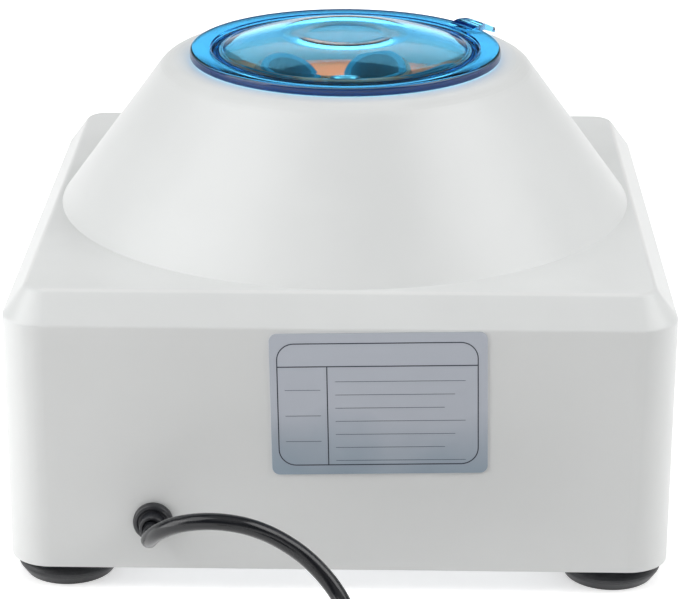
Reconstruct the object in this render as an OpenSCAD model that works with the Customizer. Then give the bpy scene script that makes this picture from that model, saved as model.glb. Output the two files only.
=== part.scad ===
// Bench-top butterfat centrifuge: a square moulded housing with a conical top, an angle rotor with
// six tube sleeves on a mains motor, a clear lift-off lid, suction feet, two knobs and a rocker switch.
// The origin lies on the floor, in the middle of the plan outline. The controls face -Y.

/* [Housing] */
// Width of the housing, left to right
body_w = 260; // [250:1:300]
// Depth of the housing, front to back
body_d = 260; // [250:1:300]
// Height of the upright side walls
side_h = 100.8; // [96:0.2:120]
// Height of the sloping band above the side walls
chamfer_h = 12; // [8:0.5:16]
// How far that band leans in
chamfer_in = 9; // [6:0.5:12]
// Radius of the four upright corners
corner_r = 17; // [13:0.5:20]
// Radius of the edge under the sloping band
edge_r = 1.8; // [1:0.2:3]
// Radius of the edge above the sloping band
deck_edge_r = 3; // [1:0.2:3.4]
// Thickness of the moulded wall
wall = 3.5; // [2.8:0.1:4]
// Flat strip between the foot of the cone and the sloping band
deck_margin = 2; // [1:0.5:5]
// Height of the cone, from the deck to the lid seat
cone_h = 60.3; // [56:0.1:72]
// From the edge of the lid out to where the slope would meet the seat
shoulder_w = 10; // [8:0.5:14]
// Radius of the shoulder round the lid seat
shoulder_r = 10; // [6:0.5:12]
// Radius of the mouth under the lid
mouth_r = 56.2; // [54:0.2:58]

/* [Lid] */
// Radius of the lid's rim
lid_r = 64.6; // [62:0.2:70]
// Thickness of the rim
rim_t = 3.7; // [3:0.1:5]
// Thickness of the clear shell
lid_t = 2.5; // [2:0.1:3]
// Radius of the raised dome
dome_r = 50; // [47:0.5:51]
// Height of the dome's sphere above the rim
dome_h = 8.6; // [7:0.1:10]
// Radius of the shallow dish in the middle of the dome
dish_r = 24; // [18:0.5:28]
// Depth of that dish
dish_d = 1.2; // [0.6:0.1:1.6]
// Depth of the groove between the rim and the dome
groove_d = 0.5; // [0.3:0.1:0.8]
// Width of the land between the skirt and the dome, seen as the groove
groove_w = 5.6; // [4.6:0.1:6]
// Length of the skirt that drops into the mouth
skirt_h = 6; // [4:0.5:7]
// Length of the finger tab beyond the rim
tab_l = 12.4; // [9:0.2:15]
// Width of the finger tab at the rim
tab_w = 16; // [12:0.5:20]
// Width of the finger tab at its tip
tab_tip_w = 5.6; // [4:0.2:8]
// Direction of the finger tab, counted from +X towards +Y
tab_angle = 215; // [200:1:230]

/* [Rotor] */
// Radius of the rotor disc
rotor_r = 80; // [76:0.5:82]
// Depth of the rotor's top below the lid seat
rotor_drop = 21.1; // [18:0.1:26]
// Thickness of the rotor disc
disc_t = 6; // [4:0.5:8]
// Height of the turned-down edge of the disc
disc_edge_h = 12; // [8:0.5:18]
// Thickness of that edge
disc_edge_t = 3.5; // [2.5:0.5:5]
// Radius of the rotor's hub
hub_r = 15; // [12:0.5:16]
// Length of the hub
hub_l = 34; // [28:1:40]
// Tilt of the tube sleeves from upright
tilt = 33; // [30:0.5:36]
// Radius of the circle through the centres of the sleeve mouths
mouth_circle_r = 36; // [34:0.5:40]
// Height of those centres above the rotor's top
mouth_rise = 5.5; // [4:0.5:8]
// Wall round each sleeve socket
socket_t = 3.2; // [2.4:0.2:4]
// Length of each sleeve socket
socket_l = 45; // [36:1:52]
// Thickness of the webs between the hub and the sockets
web_t = 3; // [2:0.5:4]
// Angle of the first sleeve, counted from +X towards +Y
first_angle = 250.5; // [240:0.5:260]

/* [Tube sleeves] */
// Bore radius of a tube sleeve
sleeve_bore_r = 10.4; // [9.8:0.1:10.8]
// Wall of a tube sleeve
sleeve_t = 1.6; // [1.2:0.1:2]
// Length of a tube sleeve
sleeve_l = 88; // [80:1:92]
// How far the lip stands out from the sleeve
lip_w = 1.6; // [1.2:0.1:2]
// Thickness of the lip
lip_t = 4; // [3:0.5:5]

/* [Chamber] */
// Gap between the lowest point of the sleeves and the chamber floor
chamber_gap = 7; // [5:0.5:10]
// Thickness of the chamber bowl
bowl_t = 2.5; // [2:0.1:3]
// Radius of the turret that covers the motor
turret_r = 43; // [41:0.5:44]
// Gap between the turret and the collar on the shaft
turret_gap = 2; // [1.5:0.5:4]

/* [Motor] */
// Radius of the motor casing
motor_r = 36; // [34:0.5:37]
// Thickness of the motor casing
motor_t = 2.6; // [2:0.2:3]
// Length of the middle casing
motor_l = 40; // [38:1:42]
// Radius of the motor shaft
shaft_r = 4; // [3.5:0.5:4]
// Gap between the motor and the turret above it
motor_gap = 4; // [3:0.5:6]
// Outer radius of the two ball bearings
bearing_r = 11; // [10.5:0.5:11]
// Thickness of the two ball bearings
bearing_t = 7; // [6:0.5:7]
// Radius of the cooling fan
fan_r = 23; // [20:0.5:24]
// Radius of the rubber dampers under the motor
damper_r = 8; // [7:0.5:9]
// Distance between the dampers, centre to centre
damper_pitch = 84; // [80:1:90]

/* [Base] */
// Height of a suction foot
foot_h = 10; // [8:0.5:12]
// Largest radius of a suction foot
foot_r = 21.3; // [18.5:0.1:22]
// Radius of the ring on which a foot stands
foot_floor_r = 17.5; // [15:0.5:18]
// Distance from the housing's sides to the middle of a foot
foot_inset = 22.2; // [22.2:0.2:26]
// Thickness of the bottom plate
plate_t = 2.5; // [2:0.1:3]
// Radius of the shank of the foot screws and damper bolts
screw_r = 2; // [1.5:0.1:2.4]

/* [Controls] */
// Distance of each knob from the middle of the front
knob_x = 62; // [56:1:70]
// Radius of the knobs
knob_r = 17.5; // [14:0.5:19]
// Height of the knobs
knob_h = 18; // [15:0.5:22]
// Gap between the knobs and the housing
knob_gap = 0.8; // [0.6:0.1:2]
// How far the controls' middle lies below the chamber bowl
control_drop = 24.5; // [23:0.5:28]
// Width of the rocker switch
switch_w = 25; // [22:0.5:28]
// Height of the rocker switch
switch_h = 31; // [28:0.5:32]
// Angle through which the rocker tips
rocker_swing = 18; // [12:1:20]

/* [Rear] */
// Width of the rating plate
rating_w = 83; // [70:1:95]
// Height of the rating plate
rating_h = 58; // [48:1:62]
// Thickness of the rating plate
rating_t = 0.6; // [0.4:0.1:1]
// Sideways place of the rating plate's middle
rating_x = -15.5; // [-20:0.5:-10]
// Radius of the flange of the strain relief
gland_r = 7.8; // [7:0.1:9]
// Sideways place of the strain relief
gland_x = 72; // [66:1:80]
// Height of the strain relief above the floor
gland_z = 30.5; // [26:0.5:36]

/* [Cord] */
// Radius of the cord
cord_r = 3.25; // [3:0.05:3.4]
// Turns in the coil of the cord
coil_turns = 5; // [4:1:6]
// Radius of the innermost turn of the coil
coil_r = 26; // [25:0.5:28]

/* [Hidden] */
$fn = 96;

// Clearances
rest_gap = 0.3;       // between a piece that lifts off and its seat
fit = 0.05;           // radial running fit and threaded fit
hole_gap = 0.2;       // radial gap of a screw in a through hole
panel_fit = 0.3;      // between the bottom plate and the walls round it
overlap = 0.5;        // how far pieces of one moulding reach into each other

// The plan offset that brings the middle of the outline, knobs and rating plate included, to Y = 0
axis_y = (knob_gap + knob_h - rating_t) / 2;

// Housing
base_z = foot_h;
side_z = base_z + side_h;
deck_z = side_z + chamfer_h;
seat_z = deck_z + cone_h;
half_w = body_w / 2;
half_d = body_d / 2;
band_tilt = atan(chamfer_in / chamfer_h);
deck_half = min(half_w, half_d) - chamfer_in;
cone_r = deck_half - deck_margin;
cone_top_r = lid_r + shoulder_w;
cone_tilt = atan((cone_r - cone_top_r) / cone_h);
cone_skin = wall / cos(cone_tilt);
ceiling_z = deck_z - wall;
ceiling_half = deck_half - wall * tan((90 - band_tilt) / 2);

// Chain of heights from the rotor down to the motor's bracket
rotor_z = seat_z - rotor_drop;
mouth_z = rotor_z + mouth_rise;
sleeve_r = sleeve_bore_r + sleeve_t;
lip_r = sleeve_r + lip_w;
socket_bore_r = sleeve_r + 0.25;
socket_r = socket_bore_r + socket_t;
sleeve_low_z = mouth_z - (sleeve_l - sleeve_r) * cos(tilt) - sleeve_r;
bowl_z = sleeve_low_z - chamber_gap;
bowl_under_z = bowl_z - bowl_t;
bowl_r = cone_r - cone_skin + wall * tan(cone_tilt) - bowl_t - 0.7;
bowl_flange_r = ceiling_half - 0.6;
collar_h = 4;
collar_r = 7;
hub_z = rotor_z - hub_l;
turret_z = hub_z - collar_h - turret_gap;
motor_top_z = turret_z - bowl_t - motor_gap;
boss_r = bearing_r + 2.5;
boss_lip = 3;
cap_t = 4;
upper_cap_z = motor_top_z - boss_lip - bearing_t - cap_t / 2;
casing_z = upper_cap_z - motor_l;
lower_cap_h = 14;
bracket_t = 2.5;
lower_cap_z = casing_z - lower_cap_h;
bracket_z = lower_cap_z - bracket_t;
bracket_half = damper_pitch / 2 + 10;
plate_top_z = base_z + plate_t;

// Lug and boss that carry the chamber bowl, on the diagonals
lug_r = 6.5;
lug_drop = 6;
lug_z = ceiling_z - lug_drop;
lug_at = (bowl_r + 20) / sqrt(2);
lug_screw_r = 1.5;

// Feet, posts and their screws
foot_x = half_w - foot_inset;
foot_y = half_d - foot_inset;
post_r = 6;
post_rib_t = 2.5;
foot_recess_r = 6.5;
foot_recess_h = foot_h * 0.6;
head_r = 5;
head_h = 2.5;
screw_grip = 15;

// Controls
control_z = bowl_under_z - control_drop;
bush_r = 4.5;
bush_out = 2.6;
nut_r = 7;
nut_t = 2.2;
control_shaft_r = 3;
shaft_in = 9;
knob_bore_l = 12;
knob_skirt_w = 2;
timer_w = 40;
timer_depth = 26;
pot_r = 12;
pot_depth = 13;
bezel_t = 2;
bezel_w = 1.8;
switch_depth = 22;
switch_wall = 1.4;
rocker_gap = 0.45;
rocker_pin_r = 1.2;
rocker_set = 3;

// Control board
board_w = 90;
board_d = 50;
board_t = 1.6;
board_y = -half_d + wall + 9 + board_d / 2;
post_h = 8;
board_z = plate_top_z + post_h;
board_top_z = board_z + board_t;
board_hole_in = 5;
board_screw_r = 1.3;

// Rear
rating_lean = 1.2;
rating_corner_r = 3;
rating_z = side_z - 1.2 - rating_h / 2;
gland_nose_r = 5;
gland_flange_t = 3.5;
gland_nose_l = 4.5;
gland_taper = 0.4;
gland_neck_r = 6.1;
gland_inner_l = 9;
gland_face_y = axis_y + half_d + gland_flange_t + gland_nose_l;

// Route of the cord from the strain relief to the coil, as laid on the bench
CORD_START = [gland_x, gland_face_y, gland_z];
CORD_OUT = CORD_START + [0, 2 * cord_r, 0];
CORD_ROUTE = [[71.7, 160.8, 32.5], [70.1, 168.3, 37.2], [66.3, 174.6, 42.6], [60.2, 179.3, 47.3],
    [52.4, 182.3, 50.2], [43.6, 183.8, 51.1], [34.7, 183.6, 49.7], [26.6, 182.1, 46.2], [19.3, 180.3, 41.3],
    [12.3, 179.6, 35.7], [5.8, 180.8, 29.6], [0.1, 184.2, 23.5], [-4.1, 189.8, 18], [-6.6, 196.8, 13],
    [-6.9, 204.5, 8.4], [-6.5, 213, 5.3], [-6.7, 221.8, 3.8], [-6.9, 230.8, 3.3], [-7, 239.8, 3.25],
    [-7, 249, 3.25]];
coil_pitch = 7.2;
coil_layer_h = 7;
coil_y = 264;
coil_outer_r = coil_r + coil_pitch * coil_turns / 2;
coil_x = -7 - coil_outer_r;
coil_steps = 24;
coil_sides = 6;
cord_sides = 8;
PLUG_ROUTE = [[-5, 293, 8.5], [2, 305, 8], [12, 315, 9.5], [22, 323, 12]];
plug_at = [34, 331, 12.5];
plug_turn = -57;
plug_w = 27;
plug_l = 38;
plug_corner_r = 5;
plug_neck_r = 5.5;
plug_neck_l = 10;

// Outlines. A path is a list of [x, y, fillet radius], and the fillets become arcs
function unit(v) = v / norm(v);
function fillet(a, b, c, r, n) =
    let (u = unit(a - b), v = unit(c - b), half = acos(max(-1, min(1, u * v))) / 2,
        mid = b + unit(u + v) * r / sin(half), reach = r / tan(half),
        from = b + u * reach - mid, to = b + v * reach - mid,
        start = atan2(from.y, from.x), sweep = atan2(cross(from, to), from * to))
    [for (i = [0 : n]) mid + r * [cos(start + sweep * i / n), sin(start + sweep * i / n)]];
function xy(p) = [p[0], p[1]];
function smooth(path, n = 5) =
    let (k = len(path))
    [for (i = [0 : k - 1]) let (a = path[(i + k - 1) % k], b = path[i], c = path[(i + 1) % k])
        each (len(b) < 3 || b[2] == 0 ? [xy(b)] : fillet(xy(a), xy(b), xy(c), b[2], n))];

// Radius of the housing's cone at a height
function cone_at(z) = cone_r - (z - deck_z) * tan(cone_tilt);

module revolve(path, n = 5) {
    rotate_extrude() polygon(smooth(path, n));
}
module ring(r, bore, h) {
    difference() {
        cylinder(r = r, h = h);
        translate([0, 0, -1]) cylinder(r = bore, h = h + 2);
    }
}
module rounded_plate(w, d, r, h) {
    linear_extrude(h) union() {
        square([w - 2 * r, d], center = true);
        square([w, d - 2 * r], center = true);
        for (x = [-1, 1], y = [-1, 1]) translate([x * (w / 2 - r), y * (d / 2 - r)]) circle(r = r);
    }
}
module on_axis() {
    translate([0, axis_y, 0]) children();
}
module at_corners(x, y) {
    for (i = [-1, 1], j = [-1, 1]) translate([i * x, j * y, 0]) children();
}
// Puts a control on the front, with its Z axis pointing out of the panel
module on_front(x) {
    on_axis() translate([x, -half_d, control_z]) rotate([90, 0, 0]) children();
}
// Puts a sleeve or socket in its place, with its Z axis pointing out of the mouth
module at_sleeve(i) {
    on_axis() rotate([0, 0, first_angle + 60 * (i - 1)])
        translate([mouth_circle_r, 0, mouth_z]) rotate([0, -tilt, 0]) children();
}

// One block of the housing: upright walls and the sloping band, both carried round the corners
module housing_block(inset, low, soft, deck_soft) {
    x = half_w - inset;
    y = half_d - inset;
    r = corner_r - inset;
    top = deck_z - inset;
    bend = side_z - inset * tan(band_tilt / 2);
    lean = chamfer_in - inset * (1 - tan((90 - band_tilt) / 2));
    function outline(half) = smooth([[-half, low, 0], [half, low, 0], [half, bend, soft],
        [half - lean, top, deck_soft], [lean - half, top, deck_soft], [-half, bend, soft]], 4);
    union() {
        rotate([90, 0, 0]) linear_extrude(2 * (y - r), center = true) polygon(outline(x));
        rotate([90, 0, 90]) linear_extrude(2 * (x - r), center = true) polygon(outline(y));
        at_corners(x - r, y - r)
            revolve([[0, low, 0], [r, low, 0], [r, bend, soft], [r - lean, top, deck_soft], [0, top, 0]], 4);
    }
}

module housing_shell() {
    cavity_low_z = base_z - 1;
    inner_top_z = seat_z - wall;
    color("white") on_axis() difference() {
        union() {
            difference() {
                union() {
                    housing_block(0, base_z, edge_r, deck_edge_r);
                    revolve([[0, ceiling_z + overlap, 0], [cone_r, ceiling_z + overlap, 0], [cone_r, deck_z, 0],
                        [cone_top_r, seat_z, shoulder_r], [0, seat_z, 0]], 6);
                }
                housing_block(wall, cavity_low_z, edge_r / 2, deck_edge_r / 2);
                revolve([[0, ceiling_z - 1, 0], [cone_at(ceiling_z - 1) - cone_skin, ceiling_z - 1, 0],
                    [cone_at(inner_top_z) - cone_skin, inner_top_z, shoulder_r - wall], [0, inner_top_z, 0]], 6);
                translate([0, 0, inner_top_z - 1]) cylinder(r = mouth_r, h = wall + 2);
            }
            at_corners(foot_x, foot_y)
                translate([0, 0, plate_top_z]) cylinder(r = post_r, h = ceiling_z - plate_top_z + overlap);
            for (i = [-1, 1], j = [-1, 1]) {
                translate([i * (foot_x + half_w - wall + overlap) / 2, j * foot_y, (plate_top_z + side_z) / 2])
                    cube([half_w - wall + overlap - foot_x, post_rib_t, side_z - plate_top_z - 20], center = true);
                translate([i * foot_x, j * (foot_y + half_d - wall + overlap) / 2, (plate_top_z + side_z) / 2])
                    cube([post_rib_t, half_d - wall + overlap - foot_y, side_z - plate_top_z - 20], center = true);
            }
            at_corners(lug_at, lug_at) translate([0, 0, lug_z]) cylinder(r = lug_r - 1.5, h = lug_drop + overlap);
        }
        at_corners(foot_x, foot_y) translate([0, 0, plate_top_z - 1]) cylinder(r = screw_r + fit, h = screw_grip + 3);
        at_corners(lug_at, lug_at) translate([0, 0, lug_z - 1]) cylinder(r = lug_screw_r + fit, h = lug_drop);
        for (x = [-knob_x, knob_x])
            translate([x, -half_d - 1, control_z]) rotate([-90, 0, 0]) cylinder(r = bush_r + hole_gap, h = wall + 2);
        translate([0, -half_d + wall / 2, control_z])
            cube([body_w_in + 2 * hole_gap, wall + 2, body_h_in + 2 * hole_gap], center = true);
        translate([gland_x, half_d - wall - 1, gland_z])
            rotate([-90, 0, 0]) cylinder(r = gland_neck_r + hole_gap, h = wall + 2);
    }
}

module bottom_plate() {
    slots = 12;
    slot_from = fan_r * 0.35;
    slot_to = fan_r;
    slot_w = 3.2;
    color("silver") on_axis() difference() {
        translate([0, 0, base_z]) rounded_plate(body_w - 2 * (wall + panel_fit), body_d - 2 * (wall + panel_fit),
            corner_r - wall - panel_fit, plate_t);
        translate([0, 0, base_z - 1]) {
            at_corners(foot_x, foot_y) cylinder(r = screw_r + hole_gap, h = plate_t + 2);
            at_corners(damper_pitch / 2, damper_pitch / 2) cylinder(r = screw_r + hole_gap, h = plate_t + 2);
            for (i = [1 : slots]) rotate([0, 0, i * 360 / slots]) {
                translate([slot_from, -slot_w / 2, 0]) cube([slot_to - slot_from, slot_w, plate_t + 2]);
                translate([slot_to, 0, 0]) cylinder(r = slot_w / 2, h = plate_t + 2);
            }
        }
    }
}

// Foot number i stands at the corner with the signs of CORNERS[i - 1]
CORNERS = [[-1, -1], [1, -1], [1, 1], [-1, 1]];
module suction_foot(i) {
    bore = screw_r + hole_gap;
    top_r = foot_r - 6;
    cup_r = foot_floor_r - 3.5;
    color("#202225") on_axis() translate([CORNERS[i - 1].x * foot_x, CORNERS[i - 1].y * foot_y, 0])
        revolve([[bore, foot_recess_h, 0], [bore, foot_h, 0], [top_r, foot_h, 0.8], [foot_r, foot_h * 0.55, 2.4],
            [foot_floor_r, 0, 0.6], [cup_r, 0, 0.6], [cup_r - 2, foot_h * 0.18, 1], [foot_recess_r, foot_h * 0.3, 0],
            [foot_recess_r, foot_recess_h, 0]], 4);
}
module foot_screws() {
    color("gainsboro") on_axis() at_corners(foot_x, foot_y) {
        translate([0, 0, foot_recess_h]) cylinder(r = screw_r, h = foot_h - foot_recess_h + plate_t + screw_grip);
        translate([0, 0, foot_recess_h - head_h]) cylinder(r1 = head_r - 1, r2 = head_r, h = head_h);
    }
}

module chamber_bowl() {
    rim_z = ceiling_z - rest_gap;
    bore = collar_r + 2;
    color("whitesmoke") on_axis() difference() {
        union() {
            revolve([[bore, turret_z, 0], [turret_r, turret_z, 5], [turret_r + 1, bowl_z, 5],
                [bowl_r, bowl_z, 10], [bowl_r, rim_z, 0], [bowl_flange_r, rim_z, 0],
                [bowl_flange_r, rim_z - bowl_t, 0], [bowl_r + bowl_t, rim_z - bowl_t, 0],
                [bowl_r + bowl_t, bowl_under_z, 10 + bowl_t], [turret_r + 1 - bowl_t, bowl_under_z, 5 - bowl_t / 2],
                [turret_r - bowl_t, turret_z - bowl_t, 5 - bowl_t / 2], [bore, turret_z - bowl_t, 0]]);
            for (i = [0 : 3]) rotate([0, 0, 45 + 90 * i]) {
                translate([bowl_r + bowl_t / 2, -lug_r, lug_z - bowl_t])
                    cube([lug_at * sqrt(2) - bowl_r - bowl_t / 2, 2 * lug_r, bowl_t]);
                translate([lug_at * sqrt(2), 0, lug_z - bowl_t]) cylinder(r = lug_r, h = bowl_t);
            }
        }
        at_corners(lug_at, lug_at)
            translate([0, 0, lug_z - bowl_t - 1]) cylinder(r = lug_screw_r + hole_gap, h = bowl_t + 2);
    }
}
module bowl_screws() {
    head_z = lug_z - bowl_t;
    color("gainsboro") on_axis() at_corners(lug_at, lug_at) {
        translate([0, 0, head_z]) cylinder(r = lug_screw_r, h = bowl_t + lug_drop - 2);
        translate([0, 0, head_z - 2]) cylinder(r = lug_screw_r * 2, h = 2);
    }
}

module rating_plate() {
    color("lightsteelblue") on_axis() translate([rating_x, half_d, rating_z]) rotate([-90, rating_lean, 0])
        rounded_plate(rating_w, rating_h, rating_corner_r, rating_t);
}
module strain_relief() {
    inner_l = wall + gland_inner_l;
    color("#1c1d20") on_axis() translate([gland_x, half_d - inner_l, gland_z]) rotate([-90, 0, 0])
        revolve([[0, 0, 0], [gland_neck_r - gland_taper, 0, 0.5], [gland_neck_r, inner_l - wall, 0],
            [gland_neck_r, inner_l, 0], [gland_r, inner_l, 0], [gland_r, inner_l + gland_flange_t, 1.2],
            [gland_nose_r + gland_taper, inner_l + gland_flange_t, 0],
            [gland_nose_r - gland_taper, inner_l + gland_flange_t + gland_nose_l, 0.8],
            [0, inner_l + gland_flange_t + gland_nose_l, 0]]);
}
module strain_relief_ring() {
    color("#2a2b2e") on_axis() translate([gland_x, half_d - wall - 3, gland_z]) rotate([-90, 0, 0])
        ring(gland_neck_r + 2.4, gland_neck_r + fit, 3);
}

// Motor, its bracket and its rubber dampers
module motor_bracket() {
    hole_r = boss_r + 1;
    color("silver") on_axis() difference() {
        translate([0, 0, bracket_z]) rounded_plate(2 * bracket_half, 2 * bracket_half, 8, bracket_t);
        translate([0, 0, bracket_z - 1]) {
            cylinder(r = hole_r, h = bracket_t + 2);
            at_corners(damper_pitch / 2, damper_pitch / 2) cylinder(r = screw_r + hole_gap, h = bracket_t + 2);
            for (i = [0 : 5]) rotate([0, 0, 60 * i]) translate([hole_r + 8, 0, 0]) cylinder(r = 4, h = bracket_t + 2);
        }
    }
}
module dampers() {
    bore = screw_r + hole_gap;
    waist = damper_r - 1.8;
    tall = bracket_z - plate_top_z;
    color("#26282b") on_axis() at_corners(damper_pitch / 2, damper_pitch / 2) translate([0, 0, plate_top_z])
        revolve([[bore, 0, 0], [damper_r, 0, 0.6], [damper_r, tall * 0.22, 1.5], [waist, tall * 0.36, 3],
            [waist, tall * 0.64, 3], [damper_r, tall * 0.78, 1.5], [damper_r, tall, 0.6], [bore, tall, 0]], 3);
}
bolt_nut_r = screw_r * 2;
bolt_nut_h = screw_r * 1.6;
module damper_bolts() {
    top = lower_cap_z + bolt_nut_h + 1;
    color("gainsboro") on_axis() at_corners(damper_pitch / 2, damper_pitch / 2) {
        translate([0, 0, base_z]) cylinder(r = screw_r, h = top - base_z);
        translate([0, 0, base_z - bolt_nut_h]) cylinder(r = bolt_nut_r, h = bolt_nut_h, $fn = 6);
    }
}
module damper_nuts() {
    color("gainsboro") on_axis() translate([0, 0, lower_cap_z]) at_corners(damper_pitch / 2, damper_pitch / 2)
        difference() {
            cylinder(r = bolt_nut_r, h = bolt_nut_h, $fn = 6);
            translate([0, 0, -1]) cylinder(r = screw_r + fit, h = bolt_nut_h + 2);
        }
}
module motor_casing() {
    color("#8f969c") on_axis() translate([0, 0, casing_z]) ring(motor_r, motor_r - motor_t, motor_l);
}
module motor_lower_cap() {
    boss_low_z = lower_cap_z - bracket_t - boss_lip;
    window = holder_w + 2 * hole_gap;
    color("#70777d") on_axis() difference() {
        union() {
            translate([0, 0, lower_cap_z]) cylinder(r = motor_r, h = lower_cap_h);
            translate([0, 0, boss_low_z]) cylinder(r = boss_r, h = lower_cap_z - boss_low_z + overlap);
        }
        translate([0, 0, lower_cap_z + cap_t]) cylinder(r = motor_r - motor_t, h = lower_cap_h);
        translate([0, 0, boss_low_z + boss_lip]) cylinder(r = bearing_r + fit, h = lower_cap_h);
        translate([0, 0, boss_low_z - 1]) cylinder(r = shaft_r + 2, h = lower_cap_h);
        for (i = [0, 1]) rotate([0, 0, 180 * i])
            translate([motor_r - motor_t - 2, -window / 2, brush_z - window / 2]) cube([motor_t + 4, window, window]);
    }
}
module motor_upper_cap() {
    color("#70777d") on_axis() difference() {
        union() {
            translate([0, 0, upper_cap_z]) cylinder(r = motor_r, h = cap_t);
            translate([0, 0, upper_cap_z + overlap]) cylinder(r = boss_r, h = motor_top_z - upper_cap_z - overlap);
        }
        translate([0, 0, upper_cap_z - 1])
            cylinder(r = bearing_r + fit, h = motor_top_z - boss_lip - upper_cap_z + 1);
        translate([0, 0, upper_cap_z]) cylinder(r = shaft_r + 2, h = motor_top_z - upper_cap_z + 1);
        for (i = [0 : 5]) rotate([0, 0, 60 * i]) translate([(boss_r + motor_r) / 2, 0, upper_cap_z - 1])
            cylinder(r = (motor_r - boss_r) / 2 - 5, h = cap_t + 2);
    }
}
lower_bearing_z = lower_cap_z - bracket_t;
upper_bearing_z = motor_top_z - boss_lip - bearing_t;
module bearing(z) {
    color("lightgray") on_axis() translate([0, 0, z]) difference() {
        ring(bearing_r, shaft_r + fit, bearing_t);
        for (side = [-1, bearing_t - 0.6]) translate([0, 0, side]) ring(bearing_r - 2, shaft_r + 2, 1.6);
    }
}

// Field, armature and brushes
field_r = motor_r - motor_t - 0.2;
field_l = motor_l * 0.75;
field_z = casing_z + (motor_l - field_l) / 2;
air_gap_r = 19.4;
coil_slot_w = 6;
coil_slot_l = 28;
coil_slot_at = 25;
module coil_slot(z, h, w, l) {
    for (i = [-1, 1]) translate([i * coil_slot_at - w / 2, -l / 2, z]) cube([w, l, h]);
}
module field_core() {
    color("#5b5f63") on_axis() difference() {
        translate([0, 0, field_z]) ring(field_r, air_gap_r, field_l);
        coil_slot(field_z - 1, field_l + 2, coil_slot_w, coil_slot_l);
    }
}
module field_coils() {
    color("#b5652b") on_axis() coil_slot(field_z - 3, field_l + 6, coil_slot_w - 0.6, coil_slot_l - 0.6);
}
brush_w = 6;
holder_w = brush_w + 3;
commutator_r = 9;
brush_z = casing_z - holder_w / 2 - 0.6;
brush_l = 13;
holder_from = commutator_r + 3;
module carbon_brushes() {
    color("#303030") on_axis() for (i = [0, 1]) rotate([0, 0, 180 * i])
        translate([commutator_r + 0.2, -brush_w / 2, brush_z - brush_w / 2]) cube([brush_l, brush_w, brush_w]);
}
module brush_holders() {
    inner = brush_w + 0.3;
    color("#3d2f24") on_axis() for (i = [0, 1]) rotate([0, 0, 180 * i])
        translate([holder_from, 0, brush_z]) difference() {
            translate([0, -holder_w / 2, -holder_w / 2]) cube([motor_r + 2 - holder_from, holder_w, holder_w]);
            translate([-1, -inner / 2, -inner / 2]) cube([motor_r - holder_from, inner, inner]);
        }
}
fan_h = 9;
fan_z = bracket_z - boss_lip - 2 - fan_h;
fan_hub_r = 7;
shaft_low_z = fan_z - 1.5;
thicker = 1;
module motor_shaft() {
    collar_z = hub_z - collar_h;
    thick_z = lower_bearing_z + bearing_t;
    top = rotor_z + washer_t + nut_h - 3;
    color("silver") on_axis() union() {
        translate([0, 0, shaft_low_z]) cylinder(r = shaft_r, h = top - shaft_low_z);
        translate([0, 0, thick_z]) cylinder(r = shaft_r + thicker, h = upper_bearing_z - thick_z);
        translate([0, 0, collar_z]) cylinder(r = collar_r, h = collar_h);
    }
}
module armature() {
    slots = 12;
    armature_r = air_gap_r - 0.6;
    color("#7a4f30") on_axis() translate([0, 0, field_z]) difference() {
        ring(armature_r, shaft_r + thicker, field_l);
        for (i = [1 : slots]) rotate([0, 0, i * 360 / slots])
            translate([armature_r - 2, 0, -1]) cylinder(r = 1.6, h = field_l + 2);
    }
}
module commutator() {
    low = brush_z - holder_w / 2 + 0.5;
    color("#c9793f") on_axis() translate([0, 0, low]) ring(commutator_r, shaft_r + thicker, field_z - 2 - low);
}
module cooling_fan() {
    blades = 8;
    pitch = 35;
    color("#d8dadc") on_axis() translate([0, 0, fan_z]) difference() {
        union() {
            cylinder(r = fan_hub_r, h = fan_h);
            for (i = [1 : blades]) rotate([0, 0, i * 360 / blades]) translate([fan_r / 2, 0, fan_h / 2])
                rotate([pitch, 0, 0]) cube([fan_r - 1, 1.4, fan_h * 0.9], center = true);
        }
        translate([0, 0, -1]) cylinder(r = shaft_r, h = fan_h + 2);
    }
}

// Angle rotor with six sockets, and what holds it on the shaft
washer_t = 1.5;
nut_h = 11;
module rotor_head() {
    edge_z = rotor_z - disc_edge_h;
    inner_r = rotor_r - disc_edge_t;
    under_z = rotor_z - disc_t;
    color("#d8642a") difference() {
        union() {
            on_axis() revolve([[0, hub_z, 0], [hub_r, hub_z, 1.5], [hub_r, under_z, 3], [inner_r, under_z, 3],
                [inner_r + 1, edge_z, 0.8], [rotor_r + 1, edge_z, 0.8], [rotor_r, rotor_z, 2], [0, rotor_z, 0]], 4);
            for (i = [1 : 6]) at_sleeve(i) translate([0, 0, -lip_t - socket_l]) cylinder(r = socket_r, h = socket_l);
            for (i = [1 : 6]) on_axis() rotate([0, 0, first_angle + 60 * (i - 1)])
                translate([hub_r - 1, -web_t / 2, rotor_z - hub_l * 0.7])
                    cube([mouth_circle_r - hub_r, web_t, hub_l * 0.7 - disc_t / 2]);
        }
        for (i = [1 : 6]) at_sleeve(i) {
            translate([0, 0, -sleeve_l]) cylinder(r = socket_bore_r, h = sleeve_l + 10);
            translate([0, 0, -lip_t]) cylinder(r = socket_r + 1, h = socket_r * 2);
        }
        on_axis() translate([0, 0, hub_z - 1]) cylinder(r = shaft_r, h = hub_l + 2);
    }
}
module rotor_washer() {
    color("silver") on_axis() translate([0, 0, rotor_z]) ring(hub_r - 5, shaft_r + hole_gap, washer_t);
}
module rotor_nut() {
    flats_r = 7.6;
    color("gainsboro") on_axis() translate([0, 0, rotor_z + washer_t]) difference() {
        union() {
            cylinder(r = flats_r, h = nut_h - 5, $fn = 6);
            revolve([[0, 1, 0], [flats_r - 1.2, 1, 0], [flats_r - 1.2, nut_h, 4], [0, nut_h, 0]]);
        }
        translate([0, 0, -1]) cylinder(r = shaft_r + fit, h = nut_h - 1.5);
    }
}
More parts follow.
